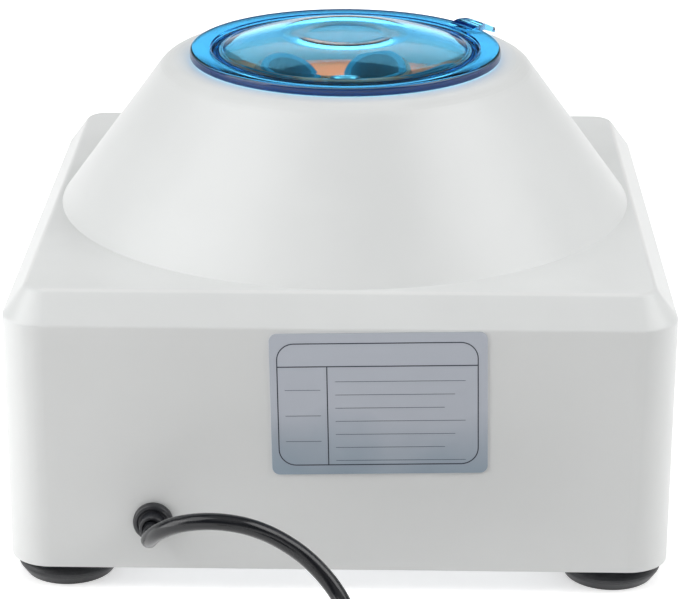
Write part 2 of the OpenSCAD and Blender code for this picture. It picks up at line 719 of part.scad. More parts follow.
module tube_sleeve(i) {
    color("#2b8fa8") at_sleeve(i) translate([0, 0, rest_gap]) rotate([180, 0, 0])
        revolve([[sleeve_bore_r, 0, 0.4], [lip_r, 0, 1], [lip_r, lip_t, 0.4], [sleeve_r, lip_t, 0],
            [sleeve_r, sleeve_l, sleeve_r - 2], [0, sleeve_l, 0], [0, sleeve_l - sleeve_t, 0],
            [sleeve_bore_r, sleeve_l - sleeve_t, sleeve_bore_r - 2]], 7);
}

// Clear lid: rim, skirt, groove, dome with a shallow dish, and a finger tab
module lid() {
    top = rim_t;
    skirt_r = mouth_r - 0.6;
    skirt_in_r = skirt_r - lid_t;
    land_z = top - groove_d;
    arc_r = (pow(dome_r, 2) + pow(dome_h, 2)) / (2 * dome_h);
    steps = 6;
    function dome_z(r) = top + dome_h - arc_r + sqrt(arc_r * arc_r - r * r);
    dish_z = dome_z(dish_r) - dish_d;
    dish_floor_r = dish_r * 0.72;
    outside_step = (dome_r - 2 - dish_r) / steps;
    inside_step = (dome_r - 3 - dish_r) / steps;
    outside = [for (i = [1 : steps]) let (r = dish_r + outside_step * i) [r, dome_z(r), 0]];
    inside = [for (i = [steps : -1 : 1]) let (r = dish_r + inside_step * i) [r, dome_z(r) - lid_t, 0]];
    color("#4fa9dcaa") on_axis() translate([0, 0, seat_z + rest_gap]) {
        union() {
            revolve(concat([[0, dish_z, 0], [dish_floor_r, dish_z, 20], [dish_r, dome_z(dish_r), 6]],
                outside, [[dome_r + 1.2, land_z, 6], [dome_r + groove_w, land_z, 0.3],
                [dome_r + groove_w + 0.5, top, 0.3], [lid_r, top, 1.2], [lid_r, 0, 0.8], [skirt_r, 0, 0.3],
                [skirt_r, -skirt_h, 0.8], [skirt_in_r, -skirt_h, 0.8], [skirt_in_r, land_z - lid_t, 0.8],
                [dome_r + 0.4, land_z - lid_t, 3]], inside, [[dish_r, dome_z(dish_r) - lid_t, 6],
                [dish_floor_r, dish_z - lid_t, 20], [0, dish_z - lid_t, 0]]), 4);
            rotate([0, 0, tab_angle]) finger_tab();
        }
    }
}
module finger_tab() {
    root = lid_r - 5.5;
    tip = lid_r + tab_l;
    tip_half = tab_tip_w / 2;
    intersection() {
        rotate([90, 0, 0]) linear_extrude(tab_w + 2, center = true)
            polygon(smooth([[root, 0.6, 0], [root, rim_t - 0.4, 0], [root + 3, rim_t + 3.4, 2],
                [lid_r + 2.6, rim_t + 3.6, 5], [tip, 1, 1.2], [tip - 2, -1, 1], [lid_r + 2.2, rim_t - 1.4, 3],
                [lid_r - 1.5, 0.6, 0]], 5));
        linear_extrude(4 * tab_l, center = true)
            polygon(smooth([[root, -tab_w / 2, 2], [root, tab_w / 2, 2], [lid_r + 1.5, tab_w / 2 - 1, 5],
                [lid_r + 5, tip_half + 0.8, 5], [tip, tip_half, tip_half * 0.9], [tip, -tip_half, tip_half * 0.9],
                [lid_r + 5, -tip_half - 0.8, 5], [lid_r + 1.5, 1 - tab_w / 2, 5]], 5));
    }
}

// Timer and speed control behind the front, with their bushes, nuts, shafts and knobs
module bush() {
    translate([0, 0, -wall - overlap]) cylinder(r = bush_r, h = wall + bush_out + overlap);
}
module shaft_bore() {
    translate([0, 0, -wall - shaft_in]) cylinder(r = control_shaft_r + fit, h = wall + shaft_in + bush_out + 1);
}
module timer_unit() {
    color("#d9d4c4") on_front(-knob_x) difference() {
        union() {
            translate([0, 0, -wall - timer_depth]) rounded_plate(timer_w, timer_w, 3, timer_depth);
            bush();
        }
        shaft_bore();
    }
}
module speed_control() {
    color("#9aa0a6") on_front(knob_x) difference() {
        union() {
            translate([0, 0, -wall - pot_depth]) cylinder(r = pot_r, h = pot_depth);
            translate([-pot_r + 3, pot_r - 4, -wall - 4]) cube([2 * pot_r - 6, 9, 2]);
            bush();
        }
        shaft_bore();
    }
}
module control_nuts() {
    color("gainsboro") for (x = [-knob_x, knob_x]) on_front(x) difference() {
        cylinder(r = nut_r, h = nut_t, $fn = 6);
        translate([0, 0, -1]) cylinder(r = bush_r + fit, h = nut_t + 2);
    }
}
module control_shaft(x) {
    color("silver") on_front(x) translate([0, 0, -wall - shaft_in + rest_gap])
        cylinder(r = control_shaft_r, h = wall + shaft_in - rest_gap + knob_gap + knob_bore_l - rest_gap);
}
module timer_shaft() { control_shaft(-knob_x); }
module speed_shaft() { control_shaft(knob_x); }
module control_knob(x) {
    flutes = 18;
    recess_r = nut_r + 1.5;
    recess_h = bush_out - knob_gap + 1;
    top_r = knob_r - 1.5;
    color("#2a2c30") on_front(x) translate([0, 0, knob_gap]) difference() {
        union() {
            revolve([[0, 0, 0], [knob_r + knob_skirt_w, 0, 0.4], [knob_r + knob_skirt_w, 2.5, 0.6],
                [knob_r, 3.5, 0.5], [top_r, knob_h - 0.8, 1.5], [0, knob_h - 0.8, 0]], 4);
            translate([-0.9, top_r * 0.25, knob_h - 1.4]) cube([1.8, top_r * 0.6, 1.4]);
        }
        for (i = [0 : flutes - 1]) rotate([0, 0, (i + 0.5) * 360 / flutes])
            translate([knob_r + 0.5, 0, 4.5]) cylinder(r = 1.5, h = knob_h);
        translate([0, 0, -1]) cylinder(r = recess_r, h = recess_h + 1);
        translate([0, 0, -1]) cylinder(r = control_shaft_r, h = knob_bore_l + 1);
    }
}
module timer_knob() { control_knob(-knob_x); }
module speed_knob() { control_knob(knob_x); }

// Rocker switch: the frame snaps into the front, the rocker tips on a pin across it
body_w_in = switch_w - 2 * bezel_w;
body_h_in = switch_h - 2 * bezel_w;
rocker_w = body_w_in - 2 * switch_wall - 2 * rocker_gap;
rocker_l = body_h_in - 2 * switch_wall - 2 * rocker_gap;
module switch_frame() {
    well_d = 10;
    color("#1f2023") on_front(0) difference() {
        union() {
            rounded_plate(switch_w, switch_h, 1.5, bezel_t);
            translate([0, 0, -switch_depth / 2]) cube([body_w_in, body_h_in, switch_depth + overlap], center = true);
        }
        translate([0, 0, (bezel_t + 1 - well_d) / 2])
            cube([rocker_w + 2 * rocker_gap, rocker_l + 2 * rocker_gap, well_d + bezel_t + 1], center = true);
        translate([0, 0, -rocker_set]) rotate([0, 90, 0])
            cylinder(r = rocker_pin_r + fit, h = body_w_in - 0.8, center = true);
    }
}
module power_rocker() {
    half = rocker_l / 2;
    color("#b3211f") on_front(0) translate([0, 0, -rocker_set]) rotate([rocker_swing / 2, 0, 0]) {
        rotate([90, 0, 90]) linear_extrude(rocker_w, center = true)
            polygon(smooth([[-half, -0.5, 0.5], [-4, -4.5, 1], [4, -4.5, 1], [half, -0.5, 0.5],
                [half - 0.5, 5.4, 0.8], [0, 3.2, 12], [0.5 - half, 5.4, 0.8]], 4));
        rotate([0, 90, 0]) cylinder(r = rocker_pin_r, h = rocker_w + 2 * rocker_gap + 1.2, center = true);
    }
}

// Speed board on four posts, and what stands on it
module board_places() {
    on_axis() translate([0, board_y, 0])
        at_corners(board_w / 2 - board_hole_in, board_d / 2 - board_hole_in) children();
}
module control_board() {
    color("#2f6b3f") difference() {
        on_axis() translate([0, board_y, board_z]) rounded_plate(board_w, board_d, 2, board_t);
        board_places() translate([0, 0, board_z - 1]) cylinder(r = board_screw_r + hole_gap, h = board_t + 2);
    }
}
module board_posts() {
    color("#e6e3da") board_places() translate([0, 0, plate_top_z]) ring(3.2, board_screw_r + fit, post_h);
}
module board_screws() {
    color("gainsboro") board_places() {
        translate([0, 0, board_z - post_h + 1.5]) cylinder(r = board_screw_r, h = post_h - 1.5 + board_t);
        translate([0, 0, board_top_z]) cylinder(r = board_screw_r * 2, h = 1.8);
    }
}
module heat_sink() {
    fins = 5;
    fin_pitch = 5;
    color("#9ba1a6") on_axis() translate([14, board_y + 2, board_top_z]) {
        cube([(fins - 1) * fin_pitch + 1.6, 14, 2]);
        for (i = [0 : fins - 1]) translate([i * fin_pitch, 0, 0]) cube([1.6, 14, 13]);
    }
}
module filter_capacitor() {
    color("#c9b23a") on_axis() translate([-22, board_y + 6, board_top_z + 7.5]) {
        translate([0, 0, -1]) cube([18, 9, 13], center = true);
    }
}
module terminal_block() {
    ways = 3;
    color("#e9e6dc") on_axis() translate([gland_x - 15, half_d - wall - 34, plate_top_z]) difference() {
        cube([30, 14, 12]);
        for (i = [0 : ways - 1]) translate([5 + 10 * i, 7, 5]) cylinder(r = 2.6, h = 8);
    }
}

// Cord, coil and plug. A tube is swept along its points, with its rings square to the way
function way(path, i) = unit(path[min(i + 1, len(path) - 1)] - path[max(i - 1, 0)]);
function ring_points(at, along, r, sides) =
    let (side = unit(cross(along, [0, 0, 1])), up = cross(side, along))
    [for (k = [0 : sides - 1]) let (a = 90 + 360 * k / sides) at + r * (cos(a) * side + sin(a) * up)];
module tube(path, r, sides) {
    rings = len(path);
    points = [for (i = [0 : rings - 1]) each ring_points(path[i], way(path, i), r, sides)];
    walls = [for (i = [0 : rings - 2], k = [0 : sides - 1])
        let (a = i * sides + k, b = i * sides + (k + 1) % sides) each [[a, b, b + sides], [a, b + sides, a + sides]]];
    last = (rings - 1) * sides;
    first_cap = [for (k = [1 : sides - 2]) [0, k + 1, k]];
    last_cap = [for (k = [1 : sides - 2]) [last, last + k, last + k + 1]];
    polyhedron(points = points, faces = concat(first_cap, walls, last_cap));
}
coil_from = [coil_x + coil_outer_r, coil_y - 2 * cord_r, cord_r];
coil_to = [coil_x + coil_outer_r, coil_y + 2 * cord_r, cord_r + coil_layer_h];
lead_out = coil_to + [0, 2 * cord_r, 0];
lead_in = plug_at - 2 * cord_r * [sin(-plug_turn), cos(-plug_turn), 0];
module power_cord() {
    color("#17181a") tube(concat([CORD_START, CORD_OUT], CORD_ROUTE, [coil_from]), cord_r, cord_sides);
}
// The coil spirals in on the floor, climbs in the half turn where it reverses, and spirals out on top
function coil_climb(t) = max(0, min(1, (t - coil_turns / 2 + 0.25) * 2));
function coil_point(t) =
    let (r = coil_r + coil_pitch * abs(t - coil_turns / 2), a = 360 * t, rise = (1 - cos(180 * coil_climb(t))) / 2)
    [coil_x + r * cos(a), coil_y + r * sin(a), cord_r + coil_layer_h * rise];
COIL_LINE = [for (i = [0 : coil_turns * coil_steps]) coil_point(i / coil_steps)];
COIL_GAPS = [for (i = [0 : len(COIL_LINE) - 1], j = [i + 8 : 1 : len(COIL_LINE) - 1])
    norm(COIL_LINE[i] - COIL_LINE[j]) - 2 * cord_r];
module cord_coil() {
    echo(least_gap_of_the_coil = min(COIL_GAPS));
    color("#17181a") tube(concat([coil_from], COIL_LINE, [coil_to]), cord_r, coil_sides);
}
module plug_lead() {
    color("#17181a") tube(concat([coil_to, lead_out], PLUG_ROUTE, [lead_in, plug_at]), cord_r, cord_sides);
}
module at_plug() {
    translate(plug_at) rotate([-90, 0, plug_turn]) children();
}
module plug_body() {
    color("#1a1b1d") at_plug() {
        cylinder(r1 = plug_neck_r - 1, r2 = plug_neck_r, h = plug_neck_l);
        translate([0, 0, plug_neck_l])
            rounded_plate(plug_w, 2 * plug_at.z, plug_corner_r, plug_l - plug_neck_l);
    }
}
module plug_blades() {
    blade_gap = 12.7;
    blade_size = [1.5, 6.3, 17.5];
    earth_r = 2.4;
    earth_drop = 9;
    color("gold") at_plug() translate([0, 0, plug_l]) {
        for (i = [-1, 1])
            translate([i * blade_gap / 2 - blade_size.x / 2, -blade_size.y / 2 - 3, 0]) cube(blade_size);
        translate([0, earth_drop - 3, 0]) cylinder(r = earth_r, h = 20);
    }
}

module suction_foot_1() { suction_foot(1); }
module suction_foot_2() { suction_foot(2); }
module suction_foot_3() { suction_foot(3); }
module suction_foot_4() { suction_foot(4); }
module lower_bearing() { bearing(lower_bearing_z); }
module upper_bearing() { bearing(upper_bearing_z); }
module tube_sleeve_1() { tube_sleeve(1); }
module tube_sleeve_2() { tube_sleeve(2); }
module tube_sleeve_3() { tube_sleeve(3); }
module tube_sleeve_4() { tube_sleeve(4); }
module tube_sleeve_5() { tube_sleeve(5); }
module tube_sleeve_6() { tube_sleeve(6); }

housing_shell();
bottom_plate();
suction_foot_1();
suction_foot_2();
suction_foot_3();
suction_foot_4();
foot_screws();
chamber_bowl();
bowl_screws();
rating_plate();
strain_relief();
strain_relief_ring();
motor_bracket();
dampers();
damper_bolts();
damper_nuts();
motor_casing();
motor_lower_cap();
motor_upper_cap();
lower_bearing();
upper_bearing();
field_core();
field_coils();
carbon_brushes();
brush_holders();
motor_shaft();
armature();
commutator();
cooling_fan();
rotor_head();
rotor_washer();
rotor_nut();
tube_sleeve_1();
tube_sleeve_2();
tube_sleeve_3();
tube_sleeve_4();
tube_sleeve_5();
tube_sleeve_6();
lid();
timer_unit();
speed_control();
control_nuts();
timer_shaft();
speed_shaft();
timer_knob();
speed_knob();
switch_frame();
power_rocker();
control_board();
board_posts();
board_screws();
heat_sink();
filter_capacitor();
terminal_block();
power_cord();
cord_coil();
plug_lead();
plug_body();
plug_blades();
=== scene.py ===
"""Dressed model of a bench-top butterfat centrifuge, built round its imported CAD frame.

The CAD part is the fixed frame: +Z is up, the controls face -Y and the camera looks from +Y, at the
rear with the rating plate and the cord. Sizes in the classes are in millimetres, as in the CAD source,
and MM turns them into the metres that Blender works in.
"""

from __future__ import annotations

import logging
import math
from dataclasses import dataclass, field
from enum import Enum
from typing import Callable, Sequence

import bmesh
import bpy
from mathutils import Matrix, Vector

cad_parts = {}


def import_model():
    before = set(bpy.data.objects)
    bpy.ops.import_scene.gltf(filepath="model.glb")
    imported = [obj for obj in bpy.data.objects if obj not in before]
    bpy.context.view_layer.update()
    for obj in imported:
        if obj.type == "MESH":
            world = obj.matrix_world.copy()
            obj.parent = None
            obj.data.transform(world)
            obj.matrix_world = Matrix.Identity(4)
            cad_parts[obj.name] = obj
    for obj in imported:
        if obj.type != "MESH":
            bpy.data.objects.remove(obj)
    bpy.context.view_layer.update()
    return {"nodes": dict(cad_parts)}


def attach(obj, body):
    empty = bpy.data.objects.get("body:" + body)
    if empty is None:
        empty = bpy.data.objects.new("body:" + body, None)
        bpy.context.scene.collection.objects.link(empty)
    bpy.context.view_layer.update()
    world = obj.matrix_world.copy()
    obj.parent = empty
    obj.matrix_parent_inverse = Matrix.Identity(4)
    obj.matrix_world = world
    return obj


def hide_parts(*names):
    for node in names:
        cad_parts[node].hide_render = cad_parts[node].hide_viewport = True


LOG = logging.getLogger("centrifuge")
MM = 0.001
AXIS_Y = 9.1

Colour = tuple[float, float, float]
Point2 = tuple[float, float]
Point3 = tuple[float, float, float]


class Body(str, Enum):
    """The CAD bodies that pieces ride on."""

    BASE = "base"
    ROTOR = "rotor"
    LID = "lid"
    TIMER = "timer_knob"
    SPEED = "speed_knob"
    ROCKER = "power_rocker"


def fillet_path(path: Sequence[Sequence[float]], steps: int = 8, closed: bool = True) -> list[Point2]:
    """Rounds the corners of a path.

    Args:
        path: Corners as (x, y) or (x, y, fillet radius).
        steps: Straight pieces in each fillet.
        closed: Whether the last corner leads back to the first.

    Returns:
        The points of the rounded path.
    """
    points: list[Point2] = []
    count = len(path)
    for i, corner in enumerate(path):
        radius = corner[2] if len(corner) > 2 else 0.0
        if radius == 0 or (not closed and i in (0, count - 1)):
            points.append((corner[0], corner[1]))
            continue
        here = Vector(corner[:2])
        back = (Vector(path[i - 1][:2]) - here).normalized()
        on = (Vector(path[(i + 1) % count][:2]) - here).normalized()
        half = math.acos(max(-1.0, min(1.0, back.dot(on)))) / 2
        middle = here + (back + on).normalized() * radius / math.sin(half)
        reach = radius / math.tan(half)
        start, end = here + back * reach - middle, here + on * reach - middle
        turn = math.atan2(start.x * end.y - start.y * end.x, start.dot(end))
        first = math.atan2(start.y, start.x)
        for k in range(steps + 1):
            a = first + turn * k / steps
            points.append((middle.x + radius * math.cos(a), middle.y + radius * math.sin(a)))
    return points


def spline_through(points: Sequence[Sequence[float]], pieces: int = 6) -> list[Vector]:
    """Draws a smooth line through points.

    Args:
        points: The points, in order.
        pieces: Straight pieces between two of them.

    Returns:
        The points of the smooth line, the given ones among them.
    """
    given = [Vector(p) for p in points]
    line: list[Vector] = []
    for i in range(len(given) - 1):
        a, b = given[i], given[i + 1]
        before = given[i - 1] if i > 0 else a + (a - b)
        after = given[i + 2] if i + 2 < len(given) else b + (b - a)
        knots = [0.0]
        for p, q in ((before, a), (a, b), (b, after)):
            knots.append(knots[-1] + math.sqrt((q - p).length))
        t0, t1, t2, t3 = knots
        for k in range(pieces):
            t = t1 + (t2 - t1) * k / pieces
            a1 = before * ((t1 - t) / (t1 - t0)) + a * ((t - t0) / (t1 - t0))
            a2 = a * ((t2 - t) / (t2 - t1)) + b * ((t - t1) / (t2 - t1))
            a3 = b * ((t3 - t) / (t3 - t2)) + after * ((t - t2) / (t3 - t2))
            b1 = a1 * ((t2 - t) / (t2 - t0)) + a2 * ((t - t0) / (t2 - t0))
            b2 = a2 * ((t3 - t) / (t3 - t1)) + a3 * ((t - t1) / (t3 - t1))
            line.append(b1 * ((t2 - t) / (t2 - t1)) + b2 * ((t - t1) / (t2 - t1)))
    line.append(given[-1])
    return line


class Draft:
    """A mesh that is being built, in millimetres."""

    def __init__(self) -> None:
        """Starts an empty mesh."""
        self.bm = bmesh.new()

    def ring(self, points: Sequence[Sequence[float]]) -> list[bmesh.types.BMVert]:
        """Adds one vertex for each point and returns them."""
        return [self.bm.verts.new(Vector(p)) for p in points]

    def bridge(self, a: list[bmesh.types.BMVert], b: list[bmesh.types.BMVert], closed: bool = True) -> None:
        """Joins two rings of the same count with quads.

        Args:
            a: The first ring.
            b: The ring beside it.
            closed: Whether the rings close on themselves.
        """
        n = len(a)
        for i in range(n if closed else n - 1):
            j = (i + 1) % n
            self.bm.faces.new((a[i], a[j], b[j], b[i]))

    def fan(self, ring: list[bmesh.types.BMVert], tip: Sequence[float]) -> None:
        """Closes a ring with triangles to one point.

        Args:
            ring: The ring to close.
            tip: Where the triangles meet.
        """
        top = self.bm.verts.new(Vector(tip))
        for i in range(len(ring)):
            self.bm.faces.new((ring[i], ring[(i + 1) % len(ring)], top))

    def face(self, ring: list[bmesh.types.BMVert]) -> None:
        """Closes a flat ring with one face."""
        self.bm.faces.new(ring)

    def lathe(self, outline: Sequence[Point2], centre: Point2 = (0.0, 0.0), steps: int = 128) -> None:
        """Turns a closed outline round an upright axis.

        Args:
            outline: Points as (radius, height). Those at radius 0 become one vertex each.
            centre: Plan position of the axis.
            steps: Divisions round the axis.
        """
        rings: list[list[bmesh.types.BMVert]] = []
        for r, z in outline:
            if r < 1e-6:
                rings.append([self.bm.verts.new((centre[0], centre[1], z))])
                continue
            rings.append(self.ring([
                (centre[0] + r * math.cos(2 * math.pi * k / steps), centre[1] + r * math.sin(2 * math.pi * k / steps), z)
                for k in range(steps)
            ]))
        for i, ring in enumerate(rings):
            other = rings[(i + 1) % len(rings)]
            if len(ring) == 1 and len(other) == 1:
                continue
            if len(ring) == 1 or len(other) == 1:
                tip, edge = (ring[0], other) if len(ring) == 1 else (other[0], ring)
                for k in range(steps):
                    self.bm.faces.new((edge[k], edge[(k + 1) % steps], tip))
            else:
                self.bridge(ring, other)

    def prism(self, outline: Sequence[Point2], low: float, high: float) -> None:
        """Raises a flat outline between two heights."""
        bottom = self.ring([(x, y, low) for x, y in outline])
        top = self.ring([(x, y, high) for x, y in outline])
        self.bridge(bottom, top)
        self.face(bottom)
        self.face(top)

    def place(self, matrix: Matrix, first: int = 0) -> None:
        """Moves the vertices from number first on by a matrix in millimetres."""
        self.bm.verts.ensure_lookup_table()
        for v in self.bm.verts[first:]:
            v.co = matrix @ v.co

    def count(self) -> int:
        """Number of vertices so far."""
        return len(self.bm.verts)

    def solid(self, name: str) -> bpy.types.Object:
        """Makes the object, in metres, and leaves it bare."""
        bmesh.ops.recalc_face_normals(self.bm, faces=self.bm.faces)
        self.bm.transform(Matrix.Scale(MM, 4))
        mesh = bpy.data.meshes.new(name)
        self.bm.to_mesh(mesh)
        self.bm.free()
        made = bpy.data.objects.new(name, mesh)
        bpy.context.scene.collection.objects.link(made)
        return made

    def piece(self, name: str, finish: "Finish", body: Body, crease: float = 32.0) -> bpy.types.Object:
        """Makes the object, in metres, and lets it ride on a body.

        Args:
            name: Name of the piece.
            finish: What it is made of.
            body: The CAD body that carries it.
            crease: Edges that turn by more degrees than this stay sharp.

        Returns:
            The new object.
        """
        return dressed(self.solid(name), finish, body, crease)


def dressed(made: bpy.types.Object, finish: "Finish", body: Body, crease: float = 32.0) -> bpy.types.Object:
    """Shades an object smooth, gives it its finish and lets it ride on a body.

    Args:
        made: The bare object.
        finish: What it is made of.
        body: The CAD body that carries it.
        crease: Edges that turn by more degrees than this stay sharp.

    Returns:
        The same object.
    """
    made.data.shade_smooth()
    made.data.set_sharp_from_angle(angle=math.radians(crease))
    made.data.materials.clear()
    made.data.materials.append(finish.material())
    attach(made, body.value)
    LOG.info("%s: %d faces, rides on %s", made.name, len(made.data.polygons), body.value)
    return made


def combine(base: bpy.types.Object, tool: bpy.types.Object, operation: str) -> bpy.types.Object:
    """Joins, cuts or intersects one solid with another, which is used up.

    Args:
        base: The solid that is changed.
        tool: The other solid.
        operation: UNION, DIFFERENCE or INTERSECT.

    Returns:
        The changed solid.
    """
    modifier = base.modifiers.new("combine", "BOOLEAN")
    modifier.operation = operation
    modifier.object = tool
    modifier.solver = "EXACT"
    view = bpy.context.evaluated_depsgraph_get()
    result = bpy.data.meshes.new_from_object(base.evaluated_get(view))
    base.modifiers.clear()
    base.data = result
    bpy.data.objects.remove(tool)
    return base


class Nodes:
    """Short ways to add shader nodes to one material."""

    def __init__(self, tree: bpy.types.NodeTree) -> None:
        """Keeps the tree and makes its node for object coordinates."""
        self.tree = tree
        self.coords = tree.nodes.new("ShaderNodeTexCoord")

    def add(self, kind: str, **settings: object) -> bpy.types.Node:
        """Adds a node and sets its attributes."""
        node = self.tree.nodes.new(kind)
        for key, value in settings.items():
            setattr(node, key, value)
        return node

    def link(self, a: bpy.types.NodeSocket, b: bpy.types.NodeSocket) -> None:
        """Joins an output to an input."""
        self.tree.links.new(a, b)

    def scaled(self, stretch: Point3 = (1.0, 1.0, 1.0)) -> bpy.types.NodeSocket:
        """Object coordinates, stretched along the axes."""
        mapping = self.add("ShaderNodeMapping")
        mapping.inputs["Scale"].default_value = stretch
        self.link(self.coords.outputs["Object"], mapping.inputs["Vector"])
        return mapping.outputs["Vector"]

    def noise(self, size_mm: float, detail: float = 3.0, stretch: Point3 = (1.0, 1.0, 1.0)) -> bpy.types.NodeSocket:
        """Noise whose features are about size_mm across, from 0 to 1."""
        node = self.add("ShaderNodeTexNoise")
        node.inputs["Scale"].default_value = 1 / (size_mm * MM)
        node.inputs["Detail"].default_value = detail
        self.link(self.scaled(stretch), node.inputs["Vector"])
        return node.outputs["Fac"]

    def ramp(self, source: bpy.types.NodeSocket, stops: Sequence[tuple[float, Colour]]) -> bpy.types.NodeSocket:
        """A colour ramp with the given stops."""
        node = self.add("ShaderNodeValToRGB")
        elements = node.color_ramp.elements
        while len(elements) < len(stops):
            elements.new(0.5)
        for element, (place, colour) in zip(elements, stops):
            element.position = place
            element.color = (*colour, 1.0)
        self.link(source, node.inputs["Fac"])
        return node.outputs["Color"]

    def spread(self, source: bpy.types.NodeSocket, low: float, high: float,
               from_low: float = 0.3, from_high: float = 0.7) -> bpy.types.NodeSocket:
        """Maps a value from one range to another, clamped."""
        node = self.add("ShaderNodeMapRange")
        for name, value in (("From Min", from_low), ("From Max", from_high), ("To Min", low), ("To Max", high)):
            node.inputs[name].default_value = value
        self.link(source, node.inputs["Value"])
        return node.outputs["Result"]

    def sum(self, a: bpy.types.NodeSocket, b: bpy.types.NodeSocket, share: float) -> bpy.types.NodeSocket:
        """a plus share times b."""
        node = self.add("ShaderNodeMath", operation="MULTIPLY_ADD")
        self.link(b, node.inputs[0])
        node.inputs[1].default_value = share
        self.link(a, node.inputs[2])
        return node.outputs[0]

    def mixed(self, factor: bpy.types.NodeSocket, a: bpy.types.NodeSocket | Colour,
              b: bpy.types.NodeSocket | Colour) -> bpy.types.NodeSocket:
        """Blend of two colours, each a socket or a plain colour."""
        node = self.add("ShaderNodeMix", data_type="RGBA")
        self.link(factor, node.inputs[0])
        for source, place in ((a, 6), (b, 7)):
            if isinstance(source, tuple):
                node.inputs[place].default_value = (*source, 1.0)
            else:
                self.link(source, node.inputs[place])
        return node.outputs[2]

    def blend(self, factor: bpy.types.NodeSocket, a: bpy.types.NodeSocket | float,
              b: bpy.types.NodeSocket | float) -> bpy.types.NodeSocket:
        """Blend of two numbers, each a socket or a plain number."""
        node = self.add("ShaderNodeMix", data_type="FLOAT")
        self.link(factor, node.inputs[0])
        for source, place in ((a, 2), (b, 3)):
            if isinstance(source, (int, float)):
                node.inputs[place].default_value = source
            else:
                self.link(source, node.inputs[place])
        return node.outputs[0]

    def bump(self, height: bpy.types.NodeSocket, depth_mm: float, strength: float = 0.4) -> bpy.types.NodeSocket:
        """A normal from a height, whose full range is depth_mm."""
        node = self.add("ShaderNodeBump")
        node.inputs["Strength"].default_value = strength
        node.inputs["Distance"].default_value = depth_mm * MM
        self.link(height, node.inputs["Height"])
        return node.outputs["Normal"]

    def worn_edges(self, width: float = 0.04) -> bpy.types.NodeSocket:
        """About 1 on outer edges and 0 elsewhere."""
        geometry = self.add("ShaderNodeNewGeometry")
        return self.spread(geometry.outputs["Pointiness"], 0.0, 1.0, 0.5 + width / 2, 0.5 + width * 2)


@dataclass(frozen=True)
class Finish:
    """What a piece is made of. A kind of finish fills in shade()."""

    name: str
    colour: Colour
    roughness: float = 0.4

    def material(self) -> bpy.types.Material:
        """The Blender material of this finish, made on first use."""
        found = bpy.data.materials.get(self.name)
        if found:
            return found
        made = bpy.data.materials.new(self.name)
        made.use_nodes = True
        made.diffuse_color = (*self.colour, 1.0)
        shader = made.node_tree.nodes["Principled BSDF"]
        shader.inputs["Base Color"].default_value = (*self.colour, 1.0)
        shader.inputs["Roughness"].default_value = self.roughness
        self.shade(Nodes(made.node_tree), shader)
        return made

    def shade(self, nodes: Nodes, shader: bpy.types.Node) -> None:
        """Adds this finish's own nodes to its Principled shader."""
        raise NotImplementedError

    def tone(self, share: float) -> Colour:
        """The finish's colour, darker or lighter by a share."""
        return tuple(min(1.0, c * share) for c in self.colour)  # type: ignore[return-value]


@dataclass(frozen=True)
class MouldedPlastic(Finish):
    """Injection-moulded plastic: a fine spark grain, faint flow marks, and paler outer edges: rubbed wear, and on the
    white shell a painted edge highlight.
    """

    grain_mm: float = 0.5
    grain_depth: float = 0.012
    mottle: float = 0.03
    rubbed: float = 0.02
    coat: float = 0.0

    def shade(self, nodes: Nodes, shader: bpy.types.Node) -> None:
        """Grain in the normal, flow marks in the colour, uneven gloss."""
        flow = nodes.noise(38.0, 2.0)
        grain = nodes.noise(self.grain_mm, 2.0)
        base = nodes.ramp(flow, [(0.35, self.tone(1 - self.mottle)), (0.65, self.tone(1 + self.mottle))])
        # paler outer edges: rubbed wear, and on the white shell a painted highlight along its edges
        edge_mask = nodes.worn_edges()
        nodes.link(nodes.mixed(nodes.spread(edge_mask, 0.0, self.rubbed, 0.0, 1.0), base, (0.93, 0.93, 0.92)),
                   shader.inputs["Base Color"])
        nodes.link(nodes.spread(nodes.sum(flow, grain, 0.6), self.roughness - 0.04, self.roughness + 0.05, 0.4, 1.1),
                   shader.inputs["Roughness"])
        nodes.link(nodes.bump(grain, self.grain_depth), shader.inputs["Normal"])
        shader.inputs["IOR"].default_value = 1.53
        shader.inputs["Coat Weight"].default_value = self.coat
        shader.inputs["Coat Roughness"].default_value = 0.12


@dataclass(frozen=True)
class Rubber(Finish):
    """Moulded rubber or soft vinyl, with pale dust in the grain."""

    grain_mm: float = 0.8
    dust: float = 0.04
    sheen: float = 0.0

    def shade(self, nodes: Nodes, shader: bpy.types.Node) -> None:
        """Dust by large and small noise, and an uneven dull gloss."""
        cloud = nodes.noise(14.0, 4.0)
        grain = nodes.noise(self.grain_mm, 3.0)
        dusty = nodes.spread(nodes.sum(cloud, grain, 0.5), 0.0, self.dust, 0.62, 1.05)
        nodes.link(nodes.mixed(dusty, self.colour, (0.45, 0.44, 0.42)), shader.inputs["Base Color"])
        nodes.link(nodes.spread(cloud, self.roughness - 0.05, self.roughness + 0.08), shader.inputs["Roughness"])
        nodes.link(nodes.bump(grain, 0.02), shader.inputs["Normal"])
        shader.inputs["Sheen Weight"].default_value = self.sheen
        shader.inputs["IOR"].default_value = 1.5


class Lay(Enum):
    """Which way the tool marks run in a metal finish."""

    TURNED = (1.0, 1.0, 14.0)
    ROLLED = (14.0, 1.0, 1.0)
    CAST = (1.0, 1.0, 1.0)
    STACKED = (0.02, 0.02, 1.0)


